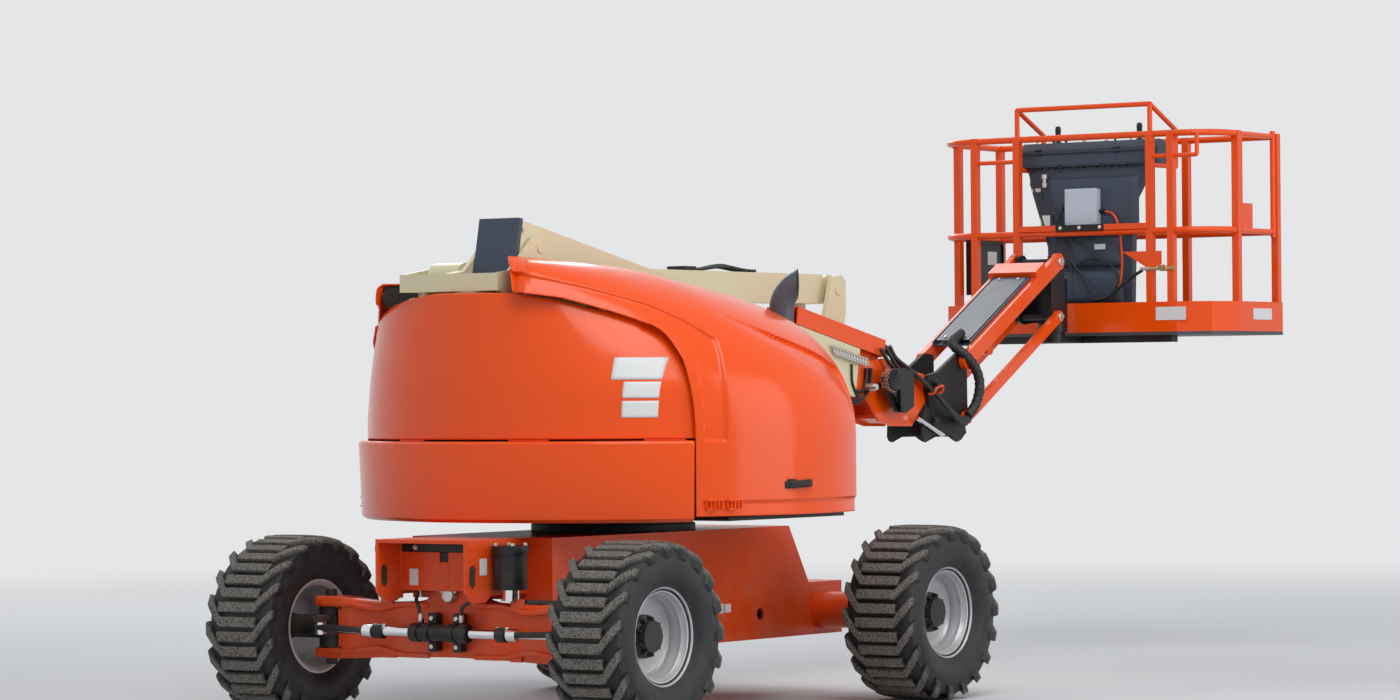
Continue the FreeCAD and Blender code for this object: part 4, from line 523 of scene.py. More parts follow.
ORANGE = Finish("orange_enamel", (0.88, 0.080, 0.001), 0.22, "orange_paint", coat=0.18, grain=0.04, dust=0.02,
                mottle=0.04, gleam=0.3)
CHASSIS_ORANGE = Finish("chassis_enamel", (0.78, 0.068, 0.003), 0.36, "chassis_orange", coat=0.12, gleam=0.32,
                        grain=0.12, dust=0.22, mottle=0.1, chips=0.5)
CREAM = Finish("cream_enamel", (0.70, 0.62, 0.40), 0.38, coat=0.15, grain=0.1, dust=0.12, mottle=0.06)
BLACK = Finish("black_enamel", (0.009, 0.009, 0.010), 0.38, "black_paint", coat=0.05, gleam=0.35, grain=0.1,
               dust=0.10, mottle=0.2)
CAST = Finish("black_casting", (0.013, 0.0125, 0.0125), 0.55, "cast_black", gleam=0.35, grain=0.6, grain_scale=90.0,
              dust=0.2, mottle=0.2, bump=LABEL)
CHROME = Finish("hard_chrome", (0.78, 0.79, 0.81), 0.09, "chrome", metallic=1.0, grain=0.02, dust=0.04, mottle=0.04)
ZINC = Finish("plated_steel", (0.62, 0.60, 0.55), 0.34, metallic=0.9, grain=0.1, dust=0.12, mottle=0.12)
SILVER = Finish("silver_enamel", (0.50, 0.51, 0.53), 0.34, "silver_rim", metallic=0.35, grain=0.06, dust=0.35,
                mottle=0.08)
SLATE = Finish("slate_plastic", (0.040, 0.056, 0.086), 0.5, "console_grey", grain=0.4, grain_scale=380.0, dust=0.06,
               mottle=0.12)
SLATE_PAINT = Finish("slate_enamel", (0.045, 0.060, 0.090), 0.4, coat=0.1, grain=0.12, dust=0.06, mottle=0.12)
RUBBER = Finish("hose_rubber", (0.012, 0.012, 0.012), 0.5, grain=0.35, grain_scale=160.0, dust=0.14, mottle=0.2)
GREY_BOX = Finish("light_grey_enamel", (0.54, 0.59, 0.66), 0.42, "light_grey", grain=0.1, dust=0.05, mottle=0.04)
FLOOR_STEEL = Finish("floor_plate", (0.085, 0.085, 0.09), 0.5, "floor_steel", metallic=0.5, grain=0.5,
                     grain_scale=120.0, dust=0.5, mottle=0.3)
# Near-black finish of the seal and the engine, also used as painted shade on plates that close hollows and fill
# holes
DARK_AND_SHADE = Finish("dark_interior", (0.02, 0.018, 0.016), 0.7, grain=0.3, dust=0.2, mottle=0.3)
STACK = Finish("stack_enamel", (0.06, 0.068, 0.08), 0.42, "exhaust_grey", grain=0.3, dust=0.05, mottle=0.2)
BRASS = Finish("brass_fitting", (0.55, 0.40, 0.17), 0.3, metallic=1.0, dust=0.1, mottle=0.1)
WHITE = Finish("white_plate", (0.72, 0.72, 0.70), 0.45, grain=0.05, dust=0.06, mottle=0.03)
RED = Finish("red_knob", (0.55, 0.012, 0.008), 0.35, grain=0.05, dust=0.02, mottle=0.03)


@dataclass(frozen=True)
class TyreRubber:
    """Black rubber whose worn faces are dusty; the mesh attribute "worn" says where."""

    name: str = "lugged_rubber"
    slot: str = "tyre_rubber"
    colour: tuple = (0.016, 0.017, 0.019)
    worn: tuple = (0.21, 0.19, 0.165)
    scuffed: tuple = (0.06, 0.056, 0.05)

    def material(self) -> bpy.types.Material:
        """The rubber as a material, made once."""
        made = bpy.data.materials.get(self.name)
        if made:
            return made
        colours = {"Colour": self.colour, "Worn Colour": self.worn, "Scuffed Colour": self.scuffed}
        values = {key: (*value, 1.0) for key, value in colours.items()}
        made, nodes, _, tread, _ = grouped_material(self.name, worn_tread(), values, 0.0015, 0.35)
        worn = nodes.node("Attribute", attribute_name="worn")
        nodes.fed(tread, {"Worn": worn.outputs["Fac"]})
        return made


def worn_tread() -> bpy.types.NodeTree:
    """Group: rubber that turns to dust and scuffs where its worn value is high, broken by grit."""
    made = bpy.data.node_groups.get("Worn tread")
    if made:
        return made
    g = Group("Worn tread", Vector="Place", Float="Worn", Color="Colour, Worn Colour, Scuffed Colour")
    source = g.source
    grit = g.noise(source["Place"], 140.0, 4.0)
    cloud = g.noise(source["Place"], 14.0, 4.0)
    dusty = g.blend(g.span(grit, 0.35, 0.6), source["Scuffed Colour"], source["Worn Colour"])
    film = g.sum("MULTIPLY", g.span(cloud, 0.4, 0.8), 0.12)
    mask = g.sum("MAXIMUM", g.sum("MULTIPLY", source["Worn"], g.span(g.sum("ADD", cloud, grit), 0.55, 0.95)), film)
    g.fed(g.sink, {"Colour": g.blend(mask, source["Colour"], dusty), "Height": grit,
                   "Roughness": g.sum("MULTIPLY_ADD", mask, 0.4, 0.48)})
    return g.tree


TREAD = TyreRubber()


# Making pieces

@dataclass
class Assembly:
    """A group of pieces; each piece rides on a body of the frame."""

    made: list = field(default_factory=list, init=False)

    def piece(self, name: str, shape: Shape | list, finish: Finish | TyreRubber, body: str, *, smooth: float = 35.0,
              replaces: tuple = (), wall: float = 0.0, bevel: float = 0.0,
              slot: str | None = None) -> bpy.types.Object:
        """Make one piece from a shape worked out around the swing axis.

        Args:
            name: Name of the piece.
            shape: Its surface, or several.
            finish: What it is finished in.
            body: Body of the frame that carries it.
            smooth: Edges flatter than this angle, in degrees, are shaded smooth.
            replaces: CAD nodes that it stands for.
            wall: Sheet thickness added inwards.
            bevel: Width of the bevel on its sharp edges.
            slot: Material slot of the record, where it isn't the finish's own; not used.

        Returns:
            The new object.
        """
        shape = merged(shape) if isinstance(shape, list) else shape
        slot = finish.slot if slot is None else slot
        mesh = bpy.data.meshes.new(name)
        points = shape.points + np.array([SWING_X, 0.0, 0.0])
        mesh.from_pydata(points.tolist(), [], shape.faces.tolist())
        obj = bpy.data.objects.new(name, mesh)
        bpy.context.scene.collection.objects.link(obj)
        tidy = bmesh.new()
        tidy.from_mesh(mesh)
        bmesh.ops.remove_doubles(tidy, verts=tidy.verts, dist=2e-6)
        bmesh.ops.recalc_face_normals(tidy, faces=tidy.faces)
        tidy.to_mesh(mesh)
        tidy.free()
        mesh.materials.append(finish.material())
        mesh.polygons.foreach_set("use_smooth", [True] * len(mesh.polygons))
        mesh.set_sharp_from_angle(angle=math.radians(smooth))
        if wall:
            sheet = obj.modifiers.new("wall", "SOLIDIFY")
            sheet.thickness = wall
            sheet.offset = -1.0
            sheet.use_even_offset = True
        if bevel:
            edges = obj.modifiers.new("edges", "BEVEL")
            edges.width = bevel
            edges.segments = 2
            edges.limit_method = "ANGLE"
            edges.angle_limit = math.radians(40)
        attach(obj, body)
        if replaces:
            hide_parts(*replaces)
        self.made.append(obj)
        return obj

    def report(self) -> None:
        """Log how many pieces the assembly has."""
        LOG.info("%s: %d pieces", type(self).__name__, len(self.made))


@dataclass
class Studio:
    """Camera at the photograph's place, floor, lamps and world."""

    lens: float = 111.04
    eye: tuple = (-18.187, -12.049, 1.4752)
    yaw: float = 35.0574
    pitch: float = 0.5818
    roll: float = -0.4319
    floor_reach: float = 90.0
    backdrop: tuple = (0.78, 0.79, 0.80, 1.0)

    @staticmethod
    def seen_rays(nodes: Nodes) -> object:
        """1 for the rays that show the backdrop: camera, glossy and transmission rays."""
        path = nodes.node("LightPath").outputs
        seen = nodes.sum("MAXIMUM", path["Is Camera Ray"], path["Is Glossy Ray"])
        return nodes.sum("MAXIMUM", seen, path["Is Transmission Ray"])

    @staticmethod
    def stand(name: str, data: bpy.types.ID, columns: tuple) -> bpy.types.Object:
        """Put a camera or lamp into the scene by the columns of its matrix."""
        made = bpy.data.objects.new(name, data)
        made.matrix_world = Matrix([[column[i] for column in columns] for i in range(3)] + [[0, 0, 0, 1]])
        bpy.context.scene.collection.objects.link(made)
        return made

    def camera(self) -> None:
        """Camera whose axes come from yaw, pitch and roll about its line of sight."""
        yaw, pitch, roll = (math.radians(a) for a in (self.yaw, self.pitch, self.roll))
        ahead = np.array([math.cos(yaw) * math.cos(pitch), math.sin(yaw) * math.cos(pitch), math.sin(pitch)])
        right = np.array([math.sin(yaw), -math.cos(yaw), 0.0])
        over = np.cross(right, ahead)
        data = bpy.data.cameras.new("camera")
        data.lens, data.sensor_width, data.clip_end = self.lens, 36.0, 200.0
        side, top = right * math.cos(roll) + over * math.sin(roll), -right * math.sin(roll) + over * math.cos(roll)
        bpy.context.scene.camera = self.stand("camera", data, (side, top, -ahead, self.eye))

    def floor(self) -> None:
        """Pale floor, paler still where only the camera or a reflection sees it."""
        reach = self.floor_reach
        mesh = bpy.data.meshes.new("studio_floor")
        corners = [(x * reach, y * reach, 0) for x, y in ((-1, -1), (1, -1), (1, 1), (-1, 1))]
        mesh.from_pydata(corners, [], [(0, 1, 2, 3)])
        floor = bpy.data.objects.new("studio_floor", mesh)
        bpy.context.scene.collection.objects.link(floor)
        material = bpy.data.materials.new("studio_floor")
        material.use_nodes = True
        nodes = Nodes(material.node_tree)
        shader = nodes.fed(material.node_tree.nodes["Principled BSDF"], {"Base Color": (0.66, 0.66, 0.66, 1.0),
                                                                         "Roughness": 0.95,
                                                                         "Specular IOR Level": 0.1})
        # Beyond a few metres it turns into the backdrop's own colour, for the rays that see the backdrop
        place = nodes.node("TexCoord").outputs["Object"]
        away = nodes.node("VectorMath", {0: place}, operation="LENGTH").outputs["Value"]
        share = nodes.sum("MULTIPLY", nodes.span(away, 4.0, 17.0), self.seen_rays(nodes))
        nodes.show(share, shader, nodes.node("Emission", {"Color": self.backdrop}), "Material Output")
        mesh.materials.append(material)

    def lamps(self) -> None:
        """Soft key from behind the camera, a fill, a back lamp, and the world with its backdrop."""
        for name, energy, size, place, aim in (("key", 800.0, 8.0, (-6.0, -6.0, 10.5), (-0.5, 0.0, 1.0)),
                                               ("fill", 270.0, 7.0, (2.0, -11.0, 4.0), (0.5, 0.0, 1.2)),
                                               ("back", 420.0, 6.0, (6.0, 8.0, 8.0), (0.0, 0.0, 1.5))):
            data = bpy.data.lights.new(name, "AREA")
            data.energy, data.size = energy, size
            way = np.array(aim) - np.array(place)
            way = way / np.linalg.norm(way)
            side = np.cross(way, [0, 0, 1.0])
            side = side / np.linalg.norm(side)
            self.stand(name, data, (side, np.cross(side, way), -way, place))
        world = bpy.data.worlds.new("studio")
        world.use_nodes = True
        bpy.context.scene.world = world
        nodes = Nodes(world.node_tree)
        seen = nodes.node("Background", {"Color": self.backdrop})
        lit = nodes.fed(world.node_tree.nodes["Background"], {"Color": (0.80, 0.86, 0.94, 1.0), "Strength": 0.52})
        nodes.show(self.seen_rays(nodes), lit, seen, "World Output")

    def build(self) -> None:
        """Make all of the studio."""
        self.camera()
        self.floor()
        self.lamps()
        bpy.context.scene.view_settings.view_transform = "Standard"


@dataclass
class Covers(Assembly):
    """Hoods, rear panel and counterweight of the turntable."""

    drum: float = 1.18
    low: float = 0.926
    waist: float = 1.27
    front: float = 0.68
    corner: float = 0.40
    seam: float = -0.684
    skin: float = 0.009
    foot: float = 1.277
    panel_radius: float = 1.152
    panel_side: float = 0.650
    bulge: float = 2.0 / 2.15
    lift_share: float = 0.28
    roof_x: tuple = (-1.12, -0.9, -0.684, -0.4, -0.1, 0.2, 0.4, 0.5, 0.6, 0.68)
    roofs: dict = field(default_factory=lambda: {Side.RIGHT: (2.104, 2.096, 2.089, 2.068, 2.022, 1.976, 1.938, 1.908,
                                                              1.874, 1.80),
                                                 Side.LEFT: (1.99, 1.996, 2.0, 2.0, 1.985, 1.96, 1.931, 1.904, 1.87,
                                                             1.795)})
    # Rear panel: height, step inside its foot, distance of its centre behind the swing axis
    levels: tuple = ((1.268, 0.0, 0.0), (1.5, 0.008, 0.028), (1.6, 0.016, 0.092), (1.65, 0.022, 0.122),
                     (1.7, 0.028, 0.164), (1.757, 0.034, 0.216), (1.828, 0.040, 0.298), (1.87, 0.044, 0.346),
                     (1.934, 0.050, 0.428))

    def roof(self, x: np.ndarray, side: Side) -> np.ndarray:
        """Height of a hood's inboard edge at each station."""
        return soft(x, self.roof_x, self.roofs[side], 0.05)

    def wall(self, x: np.ndarray) -> np.ndarray:
        """Distance of a hood's wall from the centre plane: the drum, then the slanted front corner."""
        slanted = 1.11 - 1.107 * (x - self.corner)
        drum = np.where(x < -1.08, 0.475 + 1.45 * (x + 1.08), np.sqrt(np.maximum(self.drum ** 2 - x ** 2, 0.0)))
        return np.minimum(drum, np.where(x > self.corner, slanted, 9.0))

    def arm_edge(self, x: np.ndarray) -> np.ndarray:
        """Lower edge of a hood's arm over the rear panel, rounded into the door's rear edge."""
        return soft(x, (-1.12, -1.006, -0.857, -0.76, -0.715, -0.693, -0.684),
                    (1.936, 1.912, 1.848, 1.802, 1.76, 1.705, 1.60), 0.012)

    def inset(self, x: np.ndarray, z: np.ndarray) -> np.ndarray:
        """Depth pressed into a hood: the strip under the arm's shoulder, which turns down behind the door's
        rear edge, the facet under the shoulder crease, and the skirt."""
        shoulder = np.interp(x, (-1.116, -0.918, -0.695, -0.588, -0.484), (2.03, 1.966, 1.881, 1.81, 1.718))
        edge = np.interp(z, (1.275, 1.478, 1.63, 1.708), (-0.548, -0.536, -0.505, -0.487))
        border = np.interp(z, (1.27, 1.57, 1.74, 1.80, 1.84), (-0.652, -0.640, -0.618, -0.70, -1.3))
        ramp = 0.011
        strip = np.minimum.reduce([np.clip((shoulder - z) / ramp, 0, 1), np.clip((edge - x) / ramp, 0, 1),
                                   np.clip((z - 1.258) / ramp, 0, 1), np.clip((x - border) / ramp, 0, 1)])
        crease = np.interp(x, (-0.42, -0.377, -0.282, -0.026, 0.249, 0.362, 0.42),
                           (1.87, 1.854, 1.811, 1.725, 1.647, 1.60, 1.52))
        fade = 0.05 + 0.20 * np.clip(x + 0.30, 0, 1)
        facet = ease(x, -0.42, -0.05) * (1 - ease(x, 0.36, 0.40)) * np.clip((crease - z) / 0.008, 0,
                                                                            1) * np.clip(1 - (crease - z) / fade, 0,
                                                                                         1)
        skirt = np.clip((0.996 - z) / 0.008, 0, 1) * np.clip((x + 0.662) / 0.01, 0, 1)
        return 0.017 * strip + 0.022 * facet + 0.010 * skirt

    def surface(self, x: np.ndarray, t: np.ndarray, side: Side, inner: float) -> tuple:
        """Points of a hood's skin.

        Up to the waist the skin is the drum's wall. Above it each cross-section is a quarter of a
        superellipse from the wall to the inboard edge. Behind the seam it starts at the arm's edge.

        Args:
            x: Stations along the machine, array (u,).
            t: 0 at the bottom, 1 at the inboard edge, array (v,).
            side: Which hood.
            inner: Distance of its inboard edge from the centre plane.

        Returns:
            Points (u, v, 3), and which of them are drawn up to the arm's edge (u, v).
        """
        x, t = np.broadcast_arrays(x[:, None], t[None, :])
        wall, roof = self.wall(x), self.roof(x, side)
        edge = np.where(x < self.seam, self.arm_edge(x), self.low)
        first = np.arcsin(np.clip((edge - self.waist) / (roof - self.waist), 0.0, 1.0) ** (1 / self.bulge))
        climb = (t - self.lift_share) / (1 - self.lift_share)
        hidden = (x < self.seam) & (climb * math.pi / 2 < first)
        turn = np.maximum(np.clip(climb, 0.0, 1.0) * math.pi / 2, np.where(x < self.seam, first, 0.0))
        out = inner + (wall - inner) * np.cos(turn).clip(0) ** self.bulge
        height = self.waist + (roof - self.waist) * np.sin(turn) ** self.bulge
        upright = (t < self.lift_share) & ~hidden
        height = np.where(upright, self.low + (self.waist - self.low) * t / self.lift_share, height)
        roll = 1.0 - np.sqrt(np.clip(1.0 - np.clip((x - 0.62) / 0.06, 0, 1) ** 2, 0.0, 1.0))
        out = inner + (out - inner) * (1 - 0.06 * roll)
        height = height - (height - self.waist).clip(0) * 0.08 * roll
        out = out - self.inset(x, height) * np.clip((out - inner) / 0.08, 0, 1)
        # The left door's rear edge is drawn in, and the arm's end slants forward towards its inboard edge
        if side is Side.LEFT:
            out = out - 0.033 * (1 - ease(x, self.seam, -0.50)) * (1 - ease(height, 1.66, 1.74))
            slant = x
        else:
            slant = x + 0.15 * (1 - ease(x, -1.18, -0.70)) * ease(-out, -0.34, -0.18)
        return np.stack([slant, side.value * out, height], axis=-1), hidden

    def hood(self, side: Side, inner: float, nose: float, node: str) -> None:
        """One hood: door, arm over the rear panel with its rounded nose, and front face, as one sheet.

        Args:
            side: Which hood.
            inner: Distance of its inboard edge from the centre plane.
            nose: Rear end of its arm.
            node: CAD node that it replaces, and body that carries it.
        """
        rows = np.linspace(0.0, 1.0, 190)
        behind = np.linspace(nose + 0.03, self.seam - 0.0005, 66)
        ahead = np.concatenate([np.linspace(self.seam, -0.44, 62), np.linspace(-0.44, 0.38, 66)[1:],
                                0.62 - 0.24 * np.cos(np.linspace(0, math.pi / 2, 22))[1:],
                                0.62 + 0.06 * np.sin(np.linspace(0, math.pi / 2, 9))[1:]])
        skin, hidden = self.surface(np.concatenate([behind, ahead]), rows, side, inner)
        # The nose: the first ring drawn towards its own middle while it runs out by 30 mm
        q = np.sin(np.linspace(1.0, 0.0, 14)[:-1] * math.pi / 2)[:, None, None]
        middle = skin[0][~hidden[0]].mean(axis=0)
        dome = middle + (skin[:1] - middle) * np.sqrt(np.clip(1 - q ** 2, 0, 1)) - np.array([0.03, 0.0, 0.0]) * q
        keep = np.ones((len(dome) + len(skin) - 1, len(rows) - 1), bool)
        keep[len(dome) + len(behind) - 1] = ~hidden[len(behind) - 1, 1:]
        last = skin[-1]
        q = np.linspace(0.0, 1.0, 12)[:, None]
        face = np.stack([np.full((12, len(last)), self.front), side.value
                         * (inner + (np.abs(last[:, 1]) - inner) * (1 - q)),
                         np.broadcast_to(last[:, 2], (12, len(last)))], axis=-1)
        skin = merged([grid(np.concatenate([dome, skin])).kept(keep.ravel()), grid(face)])
        if side is Side.RIGHT:
            c = skin.centres()
            skin = skin.kept(~((c[:, 0] > 0.50) & (c[:, 0] < 0.674) & (np.abs(c[:, 1] + 0.585) < 0.085)
                               & (c[:, 2] > 1.62)))
        self.piece(node + "_skin", skin, ORANGE, node, replaces=(node,), wall=self.skin, smooth=30)
        self.fittings(side, node)

    def fittings(self, side: Side, node: str) -> None:
        """Latch and louvres of a hood."""
        x = np.array([-0.255, -0.235, -0.20, -0.12, -0.095, -0.08])
        out = self.wall(x) + np.array([-0.004, 0.006, 0.014, 0.016, 0.01, -0.004])
        path = np.column_stack([x, side.value * out, 1.063 + 0.04 * (x + 0.2)])
        pull = tube(rounded(path, 0.02, 3), bar_section(0.014, 0.034, 0.006))
        self.piece(node + "_latch", [pull, block((0.05, 0.012, 0.042), (-0.215, side.value * 1.1625, 1.066))], CAST,
                   node, smooth=50, slot="black_paint")
        ribs = []
        for start in (-0.642, -0.553):
            for k in range(5):
                a = start + 0.0165 * k
                y = side.value * (float(self.wall(np.array(a + 0.005))) - 0.006)
                ribs.append(block((0.0075, 0.010, 0.036), (a, y, 0.978)))
            y = side.value * (float(self.wall(np.array(start + 0.033))) - 0.0075)
            ribs += [block((0.082, 0.008, 0.006), (start + 0.033, y, z)) for z in (0.958, 0.998)]
        self.piece(node + "_louvres", ribs, ORANGE, node)

    def lean(self, z: np.ndarray) -> tuple:
        """Step inside the rear panel's foot, and how far its centre lies behind the swing axis, by height."""
        heights, steps, backs = zip(*self.levels)
        return soft(z, heights, steps, 0.045), soft(z, heights, backs, 0.045)

    def panel(self, turn: np.ndarray, z: np.ndarray) -> np.ndarray:
        """Points of the rear panel: circles whose radius and centre move with the height, less so on the left.

        Args:
            turn: -1 at the panel's right end, 1 at its left end.
            z: Heights.

        Returns:
            Points (..., 3).
        """
        step, back = self.lean(z)
        back = back * np.where(turn > 0, 0.1, 1.0)
        radius = self.panel_radius - step - back
        reach = np.arccos(np.clip((np.where(turn > 0, 0.688, self.panel_side) - back) / radius, -1, 1))
        angle = math.pi - turn * reach
        return np.stack([radius * np.cos(angle) - back, radius * np.sin(angle), z], axis=-1)

    def rear_panel(self) -> None:
        """Panel between the hoods: it leans in as it rises and rolls over at its scalloped top edge."""
        turn = np.linspace(-1.0, 1.0, 150)[:, None] * np.ones((1, 90))
        t = np.linspace(0.0, 1.0, 90)[None, :] * np.ones((150, 1))
        edge_y = (-0.9, -0.866, -0.807, -0.64, -0.39, -0.223, 0.0, 0.2, 0.383, 0.573, 0.75, 0.83, 0.89, 0.95)
        edge_z = (1.60, 1.70, 1.757, 1.828, 1.90, 1.93, 1.933, 1.934, 1.918, 1.884, 1.837, 1.78, 1.70, 1.60)
        z = self.foot + 0.6 * t
        for _ in range(8):
            y = self.panel(turn, z)[..., 1]
            z = self.foot + (soft(y, edge_y, edge_z, 0.03) - self.foot) * np.clip(t / 0.93, 0, 1)
        points = self.panel(turn, z)
        roll = np.clip((t - 0.93) / 0.07, 0, 1)
        inwards = 1 - 0.030 * (1 - np.cos(roll * math.pi / 2))
        points[..., 0] = points[..., 0] * inwards
        points[..., 1] = points[..., 1] * inwards
        points[..., 2] += 0.010 * np.sin(roll * math.pi / 2) - 0.004 * roll
        self.piece("rear_panel_skin", grid(points), ORANGE, "turntable", replaces=("rear_panel",), wall=self.skin,
                   smooth=60)
        # Blank plates at the door's edge, laid on the panel's surface
        plates = []
        for left, right, low, high in ((-0.662, -0.829, 1.541, 1.641), (-0.708, -0.829, 1.458, 1.532),
                                       (-0.708, -0.829, 1.371, 1.446)):
            u = np.linspace(left, right, 14)[:, None] * np.ones((1, 8))
            v = np.linspace(low, high, 8)[None, :] * np.ones((14, 1))
            plates.append(grid(self.panel(self.turn_at(u, v), v) * np.array([1.0015, 1.0015, 1.0])))
        self.piece("blank_plates_panel", plates, WHITE, "turntable", wall=LABEL)
        pads = [ring_pad(math.radians(a), 1.148, 0.19, 1.268, 1.277) for a in (163.0, 197.0, 228.0)]
        rim = bar_section(0.012, 0.026, 0.002) + np.array([1.096, 1.280])
        self.piece("panel_seal", swept(rim, np.radians(np.linspace(127.0, 233.0, 60))), DARK_AND_SHADE, "turntable")
        self.piece("panel_spacers", pads, ORANGE, "turntable")

    def turn_at(self, y: np.ndarray, z: np.ndarray) -> np.ndarray:
        """Share of the panel's right half at which it reaches a distance Y at a height."""
        step, back = self.lean(z)
        radius = self.panel_radius - step - back
        reach = np.arccos(np.clip((self.panel_side - back) / radius, -1, 1))
        return np.arcsin(np.clip(y / radius, -1, 1)) / reach

    def counterweight(self) -> None:
        """Cast ring sector with rounded edges: one closed section carried around the swing axis."""
        section = bar_section(0.425, 0.365, 0.016, 4) * np.array([-1.0, 1.0])
        section = section + np.array([-(0.77 + 1.195) / 2, (0.903 + 1.268) / 2])
        lower = np.clip((0.945 - section[:, 1]) / 0.04, 0, 1) * np.clip((-section[:, 0] - 1.1) / 0.09, 0, 1)
        section = section + np.column_stack([0.024 * lower ** 1.5, np.zeros(len(section))])
        ring = swept(section * np.array([-1.0, 1.0]), np.radians(np.linspace(126.0, 234.0, 120)))
        self.piece("counterweight_casting", ring, ORANGE, "turntable", replaces=("counterweight",), smooth=40)

    def exhaust(self) -> None:
        """Exhaust tail: a pipe that rises, bends towards its mouth and ends in a plane square to its bend."""
        away = np.array([0.45, -0.893, 0.0])
        bend = np.radians(np.linspace(0.0, 60.0, 16))[:, None]
        rise = np.array([0.0, 0.0, 1.0])
        centre = np.array([EXHAUST_X, EXHAUST_Y, 1.868])
        arc = centre + 0.15 * ((1 - np.cos(bend)) * away + np.sin(bend) * rise)
        path = np.concatenate([np.array([[EXHAUST_X, EXHAUST_Y, z] for z in (1.64, 1.70, 1.76, 1.80, 1.84)]), arc])
        heading = np.concatenate([np.tile(rise, (5, 1)), np.sin(bend) * away + np.cos(bend) * rise])
        side = np.cross(away, rise)
        over = np.cross(side, heading)
        turn = np.linspace(0, 2 * math.pi, 40, endpoint=False)[None, :, None]
        walls = []
        for radius in (0.059, 0.054):
            rings = path[:, None] + radius * (np.cos(turn) * side + np.sin(turn) * over[:, None])
            # What lies beyond the plane of the mouth slides back to it; the last ring lies on it
            slide = 0.078 - (rings - centre) @ away
            slide[:-1] = np.minimum(slide[:-1], 0.0)
            rings = rings + (slide / np.maximum(heading @ away, 0.2)[:, None])[..., None] * heading[:, None]
            walls.append(rings)
        pipe = grid(np.concatenate([walls[0], walls[1][::-1]]), loop_v=True)
        collar = lathe([(0.0, 0.0595), (0.0, 0.066), (0.012, 0.067), (0.024, 0.066), (0.024, 0.0595)], "Z", 40,
                       closed=True)
        elbow = tube(rounded([(0.40, -0.572, 1.418), (EXHAUST_X, EXHAUST_Y, 1.418), (EXHAUST_X, EXHAUST_Y, 1.72)],
                             0.12, 8), disc(0.045, 28), (0.0, 1.0, 0.0))
        self.piece("exhaust_tail", [pipe, collar.moved(EXHAUST_X, EXHAUST_Y, 1.70), elbow], STACK, "turntable",
                   smooth=40, replaces=("exhaust_stack",))

    def build(self) -> None:
        """Make every cover."""
        self.hood(Side.RIGHT, 0.17, -1.19, "hood_right")
        self.hood(Side.LEFT, 0.60, -0.99, "hood_left")
        # Dark plate across the left hood arm's open inboard side: painted shade for the hollow under the hood
        shade_plate = slab([(-0.965, 1.93), (-0.93, 1.985), (-0.70, 1.99), (-0.70, 1.80), (-0.80, 1.83), (-0.93, 1.885)],
                      0.606, 0.612, "Y")
        self.piece("hood_lining", shade_plate, DARK_AND_SHADE, "hood_left", bevel=0.002)
        self.rear_panel()
        self.counterweight()
        self.exhaust()
        self.report()


